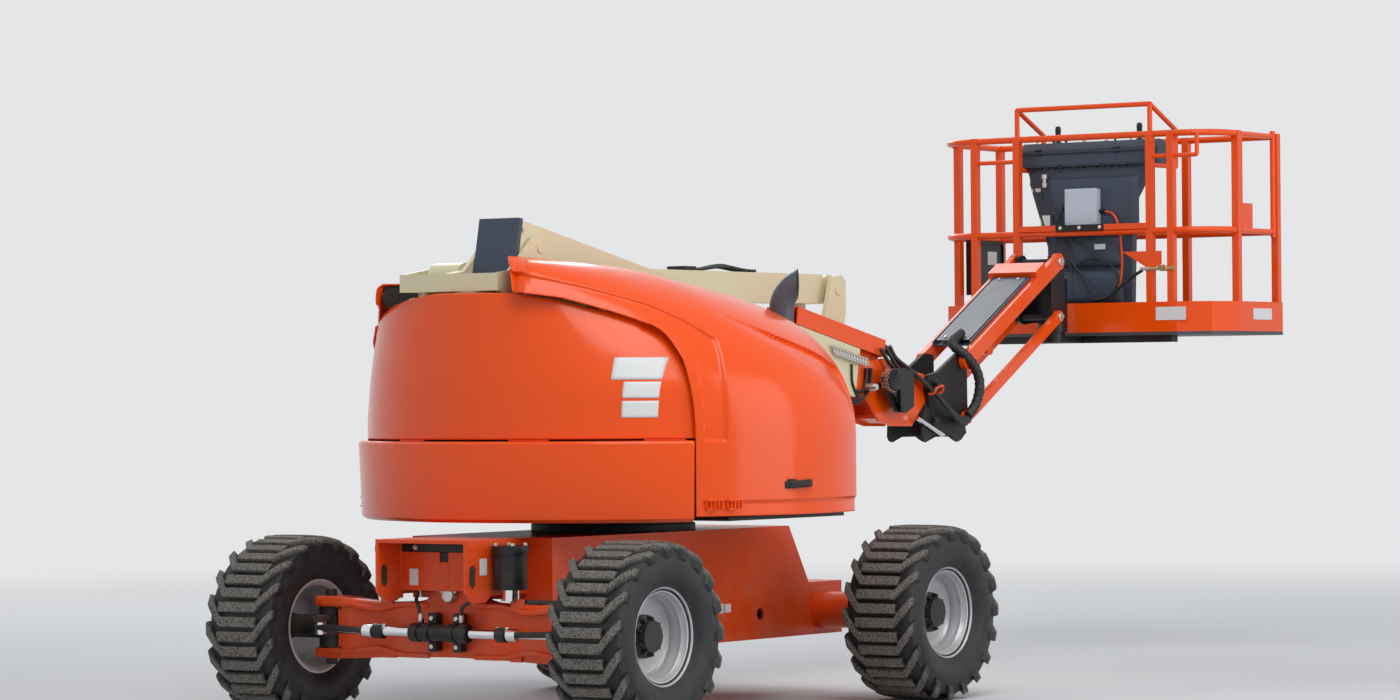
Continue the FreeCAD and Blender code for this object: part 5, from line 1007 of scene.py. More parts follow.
@dataclass
class Wheel(Assembly):
    """Tyre, rim and hub of one corner."""

    end: End = End.STEER
    side: Side = Side.RIGHT
    lugs: int = 38
    crown: float = 0.419
    floor: float = 0.394
    half: float = 0.195

    def carcass(self) -> Shape:
        """Tyre body: its section, from bead to bead, turned about the axle."""
        outer = [(0.138, 0.2005), (0.148, 0.212), (0.153, 0.224), (0.168, 0.240), (0.181, 0.262), (0.1865, 0.285),
                 (0.1885, 0.31), (0.186, 0.338), (0.1845, 0.341), (0.181, 0.362), (0.176, 0.38), (0.16, 0.390),
                 (0.12, self.floor - 0.001), (0.06, self.floor)]
        return lathe(outer + [(-u, r) for u, r in reversed(outer)], "Y", 114, closed=True)

    def tread(self) -> list:
        """Lugs: a straight centre bar whose one end runs on as a raked wing over the shoulder.

        A lug is a row of stations. At each the lug has a lower and an upper edge, both given as steps
        around the tyre, and it stands from its foot to its top. Odd lugs are mirrored across the tyre.

        Returns:
            One shape for each lug.
        """
        step = 2 * math.pi / self.lugs
        # Columns: across the tyre, steps ahead, top radius, foot radius
        rows = np.array([(-0.112, 0.0, 0.4165, 0.388), (-0.10, 0.0, 0.418, 0.39), (-0.05, 0.0, 0.419, 0.39),
                         (0.0, 0.0, 0.419, 0.39), (0.05, 0.0, 0.419, 0.39), (0.10, 0.0, 0.418, 0.39),
                         (0.13, 0.52, 0.4165, 0.388), (0.16, 1.02, 0.413, 0.383), (0.184, 1.42, 0.407, 0.375),
                         (0.194, 1.6, 0.396, 0.362), (0.1955, 1.68, 0.378, 0.35), (0.192, 1.74, 0.352, 0.338)])
        across, ahead, top, foot = (rows[:, k][:, None] for k in range(4))
        # Columns of the ring: side of the edge, share of the height
        ring = np.array([(-1.10, 0.0), (-1.0, 0.85), (-0.88, 1.0), (0.88, 1.0), (1.0, 0.85), (1.10, 0.0)])
        half_width = np.where(across < 0.11, 0.335, 0.36)
        turn = (ahead + half_width * ring[None, :, 0]) * step
        radius = foot + (top - foot) * ring[None, :, 1]
        inward = np.where(across > 0.17, 0.014 * (1 - ring[None, :, 1]), 0.0)
        wide = np.broadcast_to(across, turn.shape) - inward
        number = np.arange(self.lugs)
        flip = np.where(number % 2 == 0, 1.0, -1.0)[:, None, None]
        angle = number[:, None, None] * step + turn[None]
        points = np.stack([-radius[None] * np.sin(angle), flip * wide[None], -radius[None] * np.cos(angle)], axis=-1)
        return [capped(lug) for lug in points]

    def build(self) -> None:
        """Make the wheel's pieces."""
        corner = "%s_%s" % (self.end.name.lower(), self.side.name.lower())
        body = "wheel_" + corner
        x, y = self.end.value * AXLE_X, self.side.value * TRACK_Y
        out = float(self.side.value)
        tyre = merged([self.carcass(), *self.tread()])
        obj = self.piece("tyre_rubber_" + corner, tyre.moved(x, y, HUB_Z), TREAD, body, replaces=("tyre_" + corner,),
                         smooth=32)
        self.worn(obj, x, y)
        rim = [(0.150, 0.2195), (0.1535, 0.2165), (0.1505, 0.212), (0.141, 0.2075), (0.137, 0.196), (0.118, 0.190),
               (0.110, 0.1845), (0.086, 0.182), (0.078, 0.177), (0.052, 0.1745), (0.040, 0.166), (0.034, 0.15),
               (0.034, 0.101), (0.030, 0.060), (0.018, 0.060), (0.020, 0.150), (0.026, 0.17), (-0.06, 0.183),
               (-0.137, 0.19), (-0.150, 0.207), (-0.150, 0.2195), (-0.137, 0.2195), (-0.137, 0.2003),
               (0.137, 0.2003), (0.139, 0.2195)]
        self.piece("rim_disc_" + corner, lathe([(out * u, r) for u, r in rim], "Y", 96, closed=True).moved(x, y,
                                                                                                           HUB_Z),
                   SILVER, body, replaces=("rim_" + corner,), smooth=28)
        cap = [(0.0343, 0.0), (0.0343, 0.096), (0.048, 0.096), (0.052, 0.09), (0.052, 0.083), (0.058, 0.07),
               (0.082, 0.066), (0.094, 0.058), (0.0955, 0.034), (0.090, 0.03), (0.090, 0.0)]
        nut = [(0.03, 0.0), (0.03, 0.0115), (0.068, 0.0115), (0.071, 0.0095), (0.071, 0.007), (0.084, 0.007),
               (0.0845, 0.0)]
        stud = lathe([(out * u, r) for u, r in nut], "Y", 6)
        hub = [lathe([(out * u, r) for u, r in cap], "Y", 64).moved(x, y, HUB_Z)]
        hub += [stud.moved(x + 0.0815 * math.cos(a), y, HUB_Z + 0.0815 * math.sin(a))
                for a in np.arange(9) * 2 * math.pi / 9]
        self.piece("hub_cap_" + corner, hub, BLACK, body, smooth=35)
        self.report()

    def worn(self, obj: bpy.types.Object, x: float, y: float) -> None:
        """Store the worn value: full on the faces that touch the ground, fading down the shoulders."""
        mesh = obj.data
        place = np.empty(len(mesh.vertices) * 3)
        mesh.vertices.foreach_get("co", place)
        place = place.reshape(-1, 3) - np.array([x + SWING_X, y, HUB_Z])
        radius = np.hypot(place[:, 0], place[:, 2])
        high = ease(radius, 0.404 - 0.018 * ease(np.abs(place[:, 1]), 0.12, 0.19),
                    0.4135 - 0.014 * ease(np.abs(place[:, 1]), 0.12, 0.19))
        store = mesh.attributes.new("worn", "FLOAT", "POINT")
        store.data.foreach_set("value", high)


@dataclass
class Chassis(Assembly):
    """Steer end of the chassis: axle casting, face plate, steering parts and fittings."""

    face_x: float = -1.285
    axle_x: float = -1.17

    def axle(self) -> None:
        """Steer axle: a casting whose depth and height change along it, with a rounded mouth at each end.

        The beam and both yoke arms are bars along Y; each station is a rounded rectangle between the
        lower and the upper edge at that distance from the middle.
        """
        pieces = []
        arms = [(np.linspace(-0.66, 0.66, 89), self.beam_low, self.beam_top)]
        for sign in (-1, 1):
            y = sign * np.linspace(0.60, 0.812, 26)
            arms.append((y, self.beam_low, self.mouth_low))
            arms.append((y, self.mouth_top, self.beam_top))
        for y, low, top in arms:
            a, b = low(np.abs(y)), top(np.abs(y))
            half = 0.060 - 0.012 * ease(np.abs(y), 0.20, 0.42) * (1 - ease(np.abs(y), 0.50, 0.64))
            end = np.clip((0.812 - np.abs(y)) / 0.02, 0, 1)
            half = half - 0.02 * (1 - np.sqrt(1 - (1 - end) ** 2))
            section = bar_section(1.0, 1.0, 0.13, 3)
            x = self.axle_x + section[None, :, 0] * 2 * half[:, None]
            z = (a + b)[:, None] / 2 + section[None, :, 1] * (b - a)[:, None]
            pieces.append(capped(np.stack([x, np.broadcast_to(y[:, None], x.shape), z], axis=-1)))
        # Raised ribs along the front face, the pivot boss and its block
        for sign in (-1, 1):
            for z0, z1, z2 in ((0.535, 0.505, 0.525), (0.305, 0.335, 0.312)):
                path = [(-1.229, sign * y, z) for y, z in ((0.13, z0), (0.30, z0), (0.42, z1), (0.60, z2),
                                                           (0.76, z2))]
                pieces.append(tube(rounded(path, 0.05, 4), bar_section(0.014, 0.022, 0.004)))
            pieces.append(block((0.012, 0.07, 0.045), (-1.229, sign * 0.37, 0.548)))
            pieces.append(block((0.012, 0.06, 0.04), (-1.225, sign * 0.36, 0.31)))
        boss = slab([(-0.16, 0.535), (0.16, 0.535), (0.125, 0.575), (0.085, 0.606), (-0.085, 0.606),
                     (-0.125, 0.575)], self.axle_x - 0.062, self.axle_x + 0.062, "X")
        pieces.append(boss)
        self.piece("steer_axle_casting", pieces, CHASSIS_ORANGE, "chassis", replaces=("steer_axle",), smooth=40)

    @staticmethod
    def beam_low(y: np.ndarray) -> np.ndarray:
        """Lower edge of the casting at a distance from the middle."""
        return np.interp(y, (0.0, 0.20, 0.42, 0.60, 0.70, 0.812), (0.300, 0.297, 0.288, 0.279, 0.277, 0.280))

    @staticmethod
    def beam_top(y: np.ndarray) -> np.ndarray:
        """Upper edge of the casting at a distance from the middle."""
        return np.interp(y, (0.0, 0.14, 0.20, 0.42, 0.56, 0.66, 0.80, 0.812),
                         (0.561, 0.561, 0.548, 0.540, 0.549, 0.561, 0.561, 0.556))

    @staticmethod
    def mouth_low(y: np.ndarray) -> np.ndarray:
        """Top of the lower yoke arm: the mouth's back is half an ellipse."""
        share = np.clip((y - 0.622) / 0.07, 0, 1)
        return 0.419 - 0.094 * np.sqrt(np.clip(1 - (1 - share) ** 2, 0, 1))

    @staticmethod
    def mouth_top(y: np.ndarray) -> np.ndarray:
        """Underside of the upper yoke arm."""
        return 2 * 0.419 - Chassis.mouth_low(y)

    def face(self) -> None:
        """Plate between the chassis horns, its black strip with a notch, the blank plates and their bolts."""
        x = self.face_x
        notch = [(-0.024, 0.775), (-0.024, 0.742), (-0.016, 0.732), (0.016, 0.732), (0.024, 0.742), (0.024, 0.775)]
        left = oblong((-0.242, 0.602), (-0.024, 0.775), x, x + 0.012, "X")
        right = oblong((0.024, 0.602), (0.242, 0.775), x, x + 0.012, "X")
        middle = oblong((-0.024, 0.602), (0.024, 0.732), x, x + 0.012, "X")
        self.piece("face_plate", [left, right, middle], CHASSIS_ORANGE, "chassis", bevel=0.002)
        cup = slab(notch, x + 0.008, x + 0.05, "X")
        strip = oblong((-0.242, 0.775), (0.242, 0.819), x - 0.006, x + 0.03, "X")
        self.piece("face_strip", [strip, cup], BLACK, "chassis", bevel=0.003)
        bolts = [hexagon((x - 0.006, y, 0.795), "X", 0.011, -0.012) for y in (-0.155, 0.155)]
        bolts += [hexagon((-1.281, y, z), "X", 0.012, -0.014) for y in (-0.07, 0.07) for z in (0.478, 0.352)]
        self.piece("face_bolts", bolts, ZINC, "chassis", smooth=25)
        blanks = [plate((LABEL, 0.05, 0.074), (x - 0.0008, 0.172, 0.662), "X", 0.004),
                  plate((0.052, LABEL, 0.074), (-1.33, -0.2588, 0.715), "Y", 0.004),
                  plate((0.060, LABEL, 0.045), (0.30, -0.4008, 0.46), "Y", 0.003),
                  plate((0.050, LABEL, 0.040), (0.365, -0.4008, 0.46), "Y", 0.003)]
        self.piece("blank_plates_chassis", blanks, WHITE, "chassis")
        # Dark plugs in the horns' slots: painted shade inside the holes
        slot_shade_plugs = [slab([(px, pz) for px, pz in ((-1.43, 0.64), (-1.41, 0.62), (-1.39, 0.64), (-1.39, 0.70),
                                               (-1.41, 0.72), (-1.43, 0.70))], side * 0.25 - 0.0095,
                      side * 0.25 + 0.0095, "Y") for side in (-1, 1)]
        self.piece("horn_slots", slot_shade_plugs, DARK_AND_SHADE, "chassis")
        # Welds where the face plate meets the horns
        beads = []
        for side in (-1, 1):
            z = np.linspace(0.602, 0.812, 60)
            path = np.column_stack([np.full(60, x - 0.002), np.full(60, side * 0.2415), z])
            wave = 1 + 0.18 * np.sin(z * 900)
            turn = np.linspace(0, 2 * math.pi, 8, endpoint=False)
            ring = np.stack([path[:, None, 0] + 0.006 * wave[:, None] * np.cos(turn),
                             path[:, None, 1] + 0.006 * wave[:, None] * np.sin(turn),
                             np.broadcast_to(z[:, None], (60, 8))], axis=-1)
            beads.append(capped(ring))
        self.piece("face_welds", beads, CHASSIS_ORANGE, "chassis", smooth=60)

    def steering(self) -> None:
        """Brackets and ports of the steering cylinder, black links along its rod, and their nuts."""
        lugs = [plate((0.045, 0.044, 0.176), (-1.262, y, 0.415), "X", 0.012) for y in (-0.07, 0.07)]
        bands = [sleeve(-0.022, 0.022, 0.037, 0.043, "Y", 32).moved(ROD_X, y, ROD_Z)
                 for y in (-0.07, 0.07, -0.136, 0.136)]
        ports = [rod(0.0, 0.030, 0.013, "Z", 16).moved(-1.305, y, 0.448) for y in (-0.115, 0.115)]
        self.piece("steering_brackets", lugs + bands + ports, BLACK, "chassis", bevel=0.002)
        links, nuts = [], []
        for side in (-1, 1):
            path = [(ROD_X, side * y, z) for y, z in ((0.345, 0.415), (0.40, 0.416), (0.60, 0.422), (0.70, 0.424))]
            links.append(tube(rounded(path, 0.03, 3), bar_section(0.05, 0.026, 0.006)))
            links.append(sleeve(0.0, 0.05, 0.0225, 0.034, "Y", 28).moved(ROD_X, side * 0.35 - 0.025, 0.415))
            nuts += [hexagon((ROD_X, side * y, 0.431), "Z", 0.013, 0.018) for y in (0.325, 0.375)]
            nuts.append(rod(-0.035, 0.035, 0.006, "Y", 12).moved(ROD_X, side * 0.35, 0.442))
        self.piece("steering_links", links, BLACK, "steering_rod", smooth=40)
        self.piece("steering_nuts", nuts, ZINC, "steering_rod", smooth=30)
        hoses, ends = [], []
        for side, start in ((1, 0.155), (-1, -0.17)):
            way = [(-1.262, start, 0.60), (-1.29, start, 0.565), (ROD_X, side * 0.125, 0.53),
                   (-1.308, side * 0.116, 0.478)]
            hoses.append(hose(way, 0.0085))
            for at in (0, 3):
                ends.append(lathe([(-0.018, 0.0), (-0.018, 0.011), (-0.006, 0.0125), (0.006, 0.0125), (0.018, 0.010),
                                   (0.018, 0.0)], "Z", 14).moved(way[at][0], way[at][1],
                                                                 way[at][2] - (0.012 if at == 0 else -0.004)))
        self.piece("steering_hoses", hoses, RUBBER, "chassis")
        pivot = lathe([(0.0, 0.0), (-0.03, 0.0), (-0.034, 0.012), (-0.03, 0.03), (-0.012, 0.038), (0.0, 0.038),
                       (0.0, 0.0)][::-1], "X", 32)
        tee = rod(-0.045, 0.045, 0.009, "Y", 14)
        self.piece("steering_fittings", [pivot.moved(-1.234, 0.0, 0.582), tee.moved(-1.25, 0.0, 0.598)] + ends, ZINC,
                   "chassis", smooth=40)

    def locks(self) -> None:
        """Chrome sleeve, cap, band and bolts of each axle lock cylinder."""
        sleeves, caps, bolts = [], [], []
        for side in (-1, 1):
            at = (-1.23, side * 0.3333)
            sleeves.append(rod(0.5625, 0.612, 0.0425, "Z", 40).moved(*at))
            caps.append(lathe([(0.770, 0.0), (0.770, 0.083), (0.782, 0.085), (0.806, 0.083), (0.8085, 0.070),
                               (0.8085, 0.0)], "Z", 40).moved(*at))
            caps.append(rod(0.612, 0.634, 0.079, "Z", 40).moved(*at))
            for k in range(4):
                a = math.pi / 4 + k * math.pi / 2
                bolts.append(hexagon((at[0] + 0.066 * math.cos(a), at[1] + 0.066 * math.sin(a), 0.8085), "Z", 0.009,
                                     0.011))
        self.piece("lock_sleeves", sleeves, CHROME, "chassis", smooth=40)
        self.piece("lock_caps", caps, BLACK, "chassis", smooth=40)
        self.piece("lock_bolts", bolts, ZINC, "chassis", smooth=30)

    def slewing(self) -> None:
        """Band and bolts of the slewing ring."""
        turn = np.arange(24) * 2 * math.pi / 24
        heads = [hexagon((0.345 * math.cos(a), 0.345 * math.sin(a), 0.835), "Z", 0.012,
                         0.022).moved(0.03 * math.cos(a), 0.03 * math.sin(a), 0.0) for a in turn]
        band = lathe([(0.840, 0.370), (0.840, 0.388), (0.868, 0.388), (0.872, 0.378), (0.880, 0.378),
                      (0.880, 0.370)], "Z", 96, closed=True)
        self.piece("slewing_band", [band] + heads, CAST, "chassis", smooth=30)

    def build(self) -> None:
        """Make every part of the steer end."""
        self.axle()
        self.face()
        self.steering()
        self.locks()
        self.slewing()
        self.report()


@dataclass
class Booms(Assembly):
    """Fittings and hoses of the tower, the main boom and the fly boom."""

    def upper_arm(self) -> None:
        """Hoses and their clamps on the tower's upper arm."""
        lines = [hose([(0.96, y, 2.092), (1.10, y, 2.094), (1.22, y, 2.104 + r), (1.33, y, 2.110 + r),
                       (1.45, y, 2.100), (1.56, y, 2.092)], 0.0075) for y,
                 r in ((0.255, 0.002), (0.275, 0.008), (0.30, 0.004), (0.32, 0.0))]
        self.piece("upper_arm_hoses", lines, RUBBER, "tower_upper", smooth=50)
        clamp = block((0.10, 0.11, 0.022), (0.98, 0.288, 2.096))
        self.piece("upper_arm_clamp", [clamp, block((0.05, 0.10, 0.016), (1.54, 0.288, 2.093))], BLACK,
                   "tower_upper", slot="", bevel=0.003)

    def tail(self) -> None:
        """Hose that leaves the boom's end cap, and the cap's screws."""
        self.piece("tail_hose", hose([(-0.80, -0.118, 2.085), (-0.83, -0.125, 2.05), (-0.835, -0.125, 2.0),
                                      (-0.81, -0.12, 1.965)], 0.011), RUBBER, "main_boom")
        screws = [hexagon((-0.835, -0.117, z), "Y", 0.008, -0.006) for z in (2.05, 2.23)]
        self.piece("cap_screws", screws, ZINC, "main_boom")

    def carrier(self) -> None:
        """Perforated bracket under the boom's nose with the looped hoses that it carries."""
        u, v = np.linspace(0, 1, 40), np.linspace(0, 1, 7)
        top = np.array([1.69, 1.719]) + u[:, None] * (np.array([2.034, 1.648]) - np.array([1.69, 1.719]))
        low = np.array([1.724, 1.667]) + u[:, None] * (np.array([2.043, 1.604]) - np.array([1.724, 1.667]))
        flat = top[:, None] + v[None, :, None] * (low - top)[:, None]
        sheet = grid(np.insert(flat, 1, -0.128, axis=-1))
        i, j = np.divmod(np.arange(39 * 6), 6)
        holes = ((i % 3 == 1) & ((j == 1) | (j == 2) | (j == 4)))
        self.piece("hose_bracket", sheet.kept(~holes), ZINC, "main_boom", wall=0.005)
        loops = []
        for k in range(7):
            s, y = 0.009 * k, -0.075 - 0.014 * (k % 4)
            loops.append(hose([(1.866 + s, y, 1.62), (1.868 + s, y, 1.54), (1.885 + s * 0.9, y, 1.48 + s),
                               (1.935 + 0.3 * s, y, 1.432 + s * 1.1), (1.997, y, 1.418 + s * 1.2),
                               (2.06 - 0.5 * s, y, 1.452 + s), (2.100 - s, y, 1.53 + 0.4 * s), (2.105 - s, y, 1.60)],
                              0.0062))
        self.piece("carrier_hoses", loops, RUBBER, "main_boom", smooth=50)
        self.piece("nose_pin", lathe([(-0.172, 0.0), (-0.172, 0.014), (-0.16, 0.019), (-0.112, 0.019),
                                      (-0.112, 0.0)], "Y", 24).moved(2.045, 0.0, 1.503), ZINC, "fly_boom", smooth=35)

    def nose(self) -> None:
        """Hose guard on the fly boom's nose, the fittings at its corner, and the hoses from the cover to it."""
        outline = [(2.111, 1.55), (2.166, 1.584), (2.239, 1.599), (2.33, 1.601), (2.422, 1.58), (2.424, 1.49),
                   (2.423, 1.402), (2.345, 1.368), (2.235, 1.374), (2.191, 1.423), (2.15, 1.47)]
        guard = slab(outline, -0.157, -0.150, "Y")
        backing = oblong((2.25, 1.40), (2.40, 1.56), -0.150, -0.116, "Y")
        self.piece("hose_guard", [guard, backing, block((0.03, 0.066, 0.03), (2.162, -0.119, 1.51))], BLACK,
                   "fly_boom", bevel=0.003)
        fittings, stubs = [], []
        for k in range(9):
            a = math.radians(100 + 19 * k)
            at = (2.19 + 0.062 * math.cos(a), -0.172 - 0.004 * (k % 2), 1.535 + 0.052 * math.sin(a))
            body = lathe([(-0.02, 0.0), (-0.02, 0.0105), (0.004, 0.0105), (0.008, 0.0085), (0.03, 0.0085),
                          (0.03, 0.0)], "Y", 8)
            fittings.append(body.moved(*at))
            stubs.append(hose([(at[0], -0.19, at[2]), (at[0] + 0.01 * math.cos(a), -0.203, at[2] + 0.004),
                               (2.215, -0.200, 1.50 + 0.01 * math.sin(a)),
                               (2.235 + 0.004 * k, -0.175, 1.47 - 0.01 * k),
                               (2.25 + 0.01 * k, -0.155, 1.43 - 0.006 * k)], 0.0062, 8))
        self.piece("guard_fittings", fittings, ZINC, "fly_boom", smooth=30)
        shorts = [hose([(2.177, -0.11, 1.70), (2.19, -0.125, 1.665), (2.221, -0.13, 1.629), (2.262, -0.135, 1.602)],
                       0.0105), hose([(2.231, -0.11, 1.70), (2.25, -0.125, 1.66), (2.285, -0.13, 1.618),
                                      (2.31, -0.135, 1.60)], 0.0105)]
        self.piece("guard_hoses", stubs + shorts, RUBBER, "fly_boom", smooth=50)
        long = [hose([(2.26 + 0.01 * k, -0.055 - 0.02 * k, 1.715), (2.33, -0.07 - 0.02 * k, 1.668 - s),
                      (2.46, -0.09 - 0.018 * k, 1.602 - s), (2.56, -0.108 - 0.012 * k, 1.545 - s),
                      (2.648, -0.126 - 0.008 * k, 1.492 - s)], 0.0115) for k, s in STRANDS]
        self.piece("cover_hoses", long, RUBBER, "fly_boom", smooth=50)

    def build(self) -> None:
        """Make every fitting of the booms."""
        self.upper_arm()
        self.tail()
        self.carrier()
        self.nose()
        self.report()


@dataclass
class Jib(Assembly):
    """Jib base castings, pins, hoses and cylinder dressing."""

    pins: tuple = ((PIN_X, PIN_Z), (PIN_X, 1.340))

    def base(self) -> None:
        """Casting of the jib base with its feet, the slate plate, the levelling rod and the hose ring."""
        outline = [(2.62, 1.40), (2.575, 1.34), (2.57, 1.243), (2.585, 1.222), (2.61, 1.214), (2.635, 1.225),
                   (2.656, 1.241), (2.865, 1.241), (2.89, 1.222), (2.922, 1.213), (2.96, 1.224), (2.979, 1.24),
                   (3.01, 1.26), (2.99, 1.32), (2.943, 1.40)]
        cheeks = [slab(outline, low, low + 0.016, "Y") for low in (-0.110, 0.094)]
        web = oblong((2.89, 1.245), (2.95, 1.262), -0.1, 0.1, "Y")
        ribs = [block((0.014, 0.19, 0.07), (2.905, 0.0, 1.29))]
        ribs += [block((0.05, 0.03, 0.03), (x, side * 0.122, 1.33)) for x in (2.68, 2.88) for side in (-1, 1)]
        self.piece("jib_base_casting", cheeks + [web] + ribs, CAST, "jib_base", bevel=0.003)
        self.piece("jib_base_plate", slab([(2.886, 1.621), (3.005, 1.621), (3.0, 1.49), (2.912, 1.49)], -0.088,
                                          -0.080, "Y"), SLATE_PAINT, "jib_base", bevel=0.002)
        leveller = rod(0.0, 0.27, 0.0125, "X", 24)
        self.piece("levelling_rod", leveller.pitched(-20).moved(2.50, -0.122, 1.343), CHROME, "jib_base", smooth=40)
        path = rounded([(2.60, -0.134, 1.465), (2.60, -0.170, 1.468), (2.60, -0.178, 1.495), (2.672, -0.178, 1.512),
                        (2.68, -0.170, 1.478), (2.66, -0.134, 1.455)], 0.02, 4)
        self.piece("hose_ring", tube(path, disc(0.006, 10), (0.2, 0.0, 1.0)), ORANGE, "jib_base", smooth=50)
        low = [hose([(2.648, -0.126 - 0.008 * k, 1.492 - s), (2.70, -0.158 - 0.006 * k, 1.43 - s),
                     (2.775, -0.170 - 0.004 * k, 1.372 - s), (2.86, -0.172, 1.338 - s), (2.93, -0.172, 1.347 - s),
                     (2.975, -0.173, 1.39)], 0.0115) for k, s in STRANDS]
        self.piece("jib_base_hoses", low, RUBBER, "jib_base", smooth=50)

    def wrapped(self) -> None:
        """Hose bundle in a spiral sleeve that rises over the arm's pin into the tray between the arms.

        Along the bundle the radius follows a saw-tooth, one tooth for each turn of the sleeve, and the
        tooth shifts around the bundle so that the turns run in a spiral.
        """
        path = spline([(2.93, -0.168, 1.352), (2.972, -0.185, 1.40), (3.0, -0.195, 1.475), (3.008, -0.19, 1.545),
                       (2.985, -0.172, 1.615), (2.94, -0.14, 1.675), (2.905, -0.105, 1.712), (2.925, -0.075, 1.742),
                       (2.985, -0.06, 1.760), (3.06, -0.05, 1.785)], 16)
        step = np.concatenate([[0.0], np.cumsum(np.linalg.norm(np.diff(path, axis=0), axis=1))])
        turn = np.linspace(0, 2 * math.pi, 20, endpoint=False)
        phase = (step[:, None] / 0.034 + turn[None] / (2 * math.pi)) % 1.0
        radius = 0.0235 + 0.0045 * phase
        along = np.gradient(path, axis=0)
        along = along / np.linalg.norm(along, axis=1, keepdims=True)
        side = np.cross(along, np.array([0.0, 1.0, 0.0]))
        side = side / np.linalg.norm(side, axis=1, keepdims=True)
        over = np.cross(side, along)
        rings = path[:, None] + radius[..., None] * (np.cos(turn)[None, :, None] * side[:, None]
                                                     + np.sin(turn)[None, :, None] * over[:, None])
        self.piece("spiral_sleeve", capped(rings), RUBBER, "jib_arms", smooth=40)

    def fittings(self) -> None:
        """Pin heads with their keepers on the arms, links and head, and the cylinder's fittings."""
        pitch = math.radians(ARM_PITCH)
        c, s = math.cos(pitch) * ARM_LENGTH, math.sin(pitch) * ARM_LENGTH
        for name, body, places in (("jib_base_pins", "jib_base", self.pins),
                                   ("jib_head_pins", "jib_head", [(x + c, z + s) for x, z in self.pins])):
            heads = []
            for x, z in places:
                for side in (-1, 1):
                    cap = [(side * 0.1505, 0.0), (side * 0.1505, 0.024), (side * 0.158, 0.024),
                           (side * 0.161, 0.020), (side * 0.161, 0.0)]
                    heads.append(lathe(cap, "Y", 24).moved(x, 0.0, z))
                    heads.append(hexagon((x + 0.013, side * 0.1605, z + 0.002), "Y", 0.006, side * 0.006))
            self.piece(name, heads, ZINC, body, smooth=30)
        # Valve block and pipe along the barrel, worked out flat and pitched with the cylinder
        valve = merged([block((0.06, 0.032, 0.036), (0.13, -0.062, 0.0)),
                        block((0.03, 0.02, 0.05), (0.12, -0.06, 0.0))])
        pipes = hose([(0.02, -0.036, 0.022), (0.06, -0.046, 0.026), (0.09, -0.046, 0.022), (0.11, -0.05, 0.012)],
                     0.0055)
        for shape, finish, name in ((valve, BLACK, "jib_valve_block"), (pipes, ZINC, "jib_valve_pipe")):
            self.piece(name, shape.pitched(29.0).moved(2.995, 0.0, 1.585), finish, "jib_cylinder_barrel",
                       bevel=0.002 if finish is BLACK else 0.0, slot="")

    def tray(self) -> None:
        """Lid and screws of the tray between the arms."""
        flat = [hexagon((x, side * 0.06, 0.0565), "Z", 0.009, 0.006) for x in (0.16, 0.80) for side in (-1, 1)]
        lid = plate((0.70, 0.205, 0.004), (0.475, 0.0, 0.0545), "Z", 0.012)
        self.piece("tray_lid", lid.pitched(ARM_PITCH).moved(PIN_X, 0.0, PIN_Z), SLATE_PAINT, "jib_arms", bevel=0.001)
        self.piece("tray_screws", merged(flat).pitched(ARM_PITCH).moved(PIN_X, 0.0, PIN_Z), ZINC, "jib_arms",
                   smooth=30)

    def build(self) -> None:
        """Make every part of the jib."""
        self.base()
        self.wrapped()
        self.fittings()
        self.tray()
        self.report()


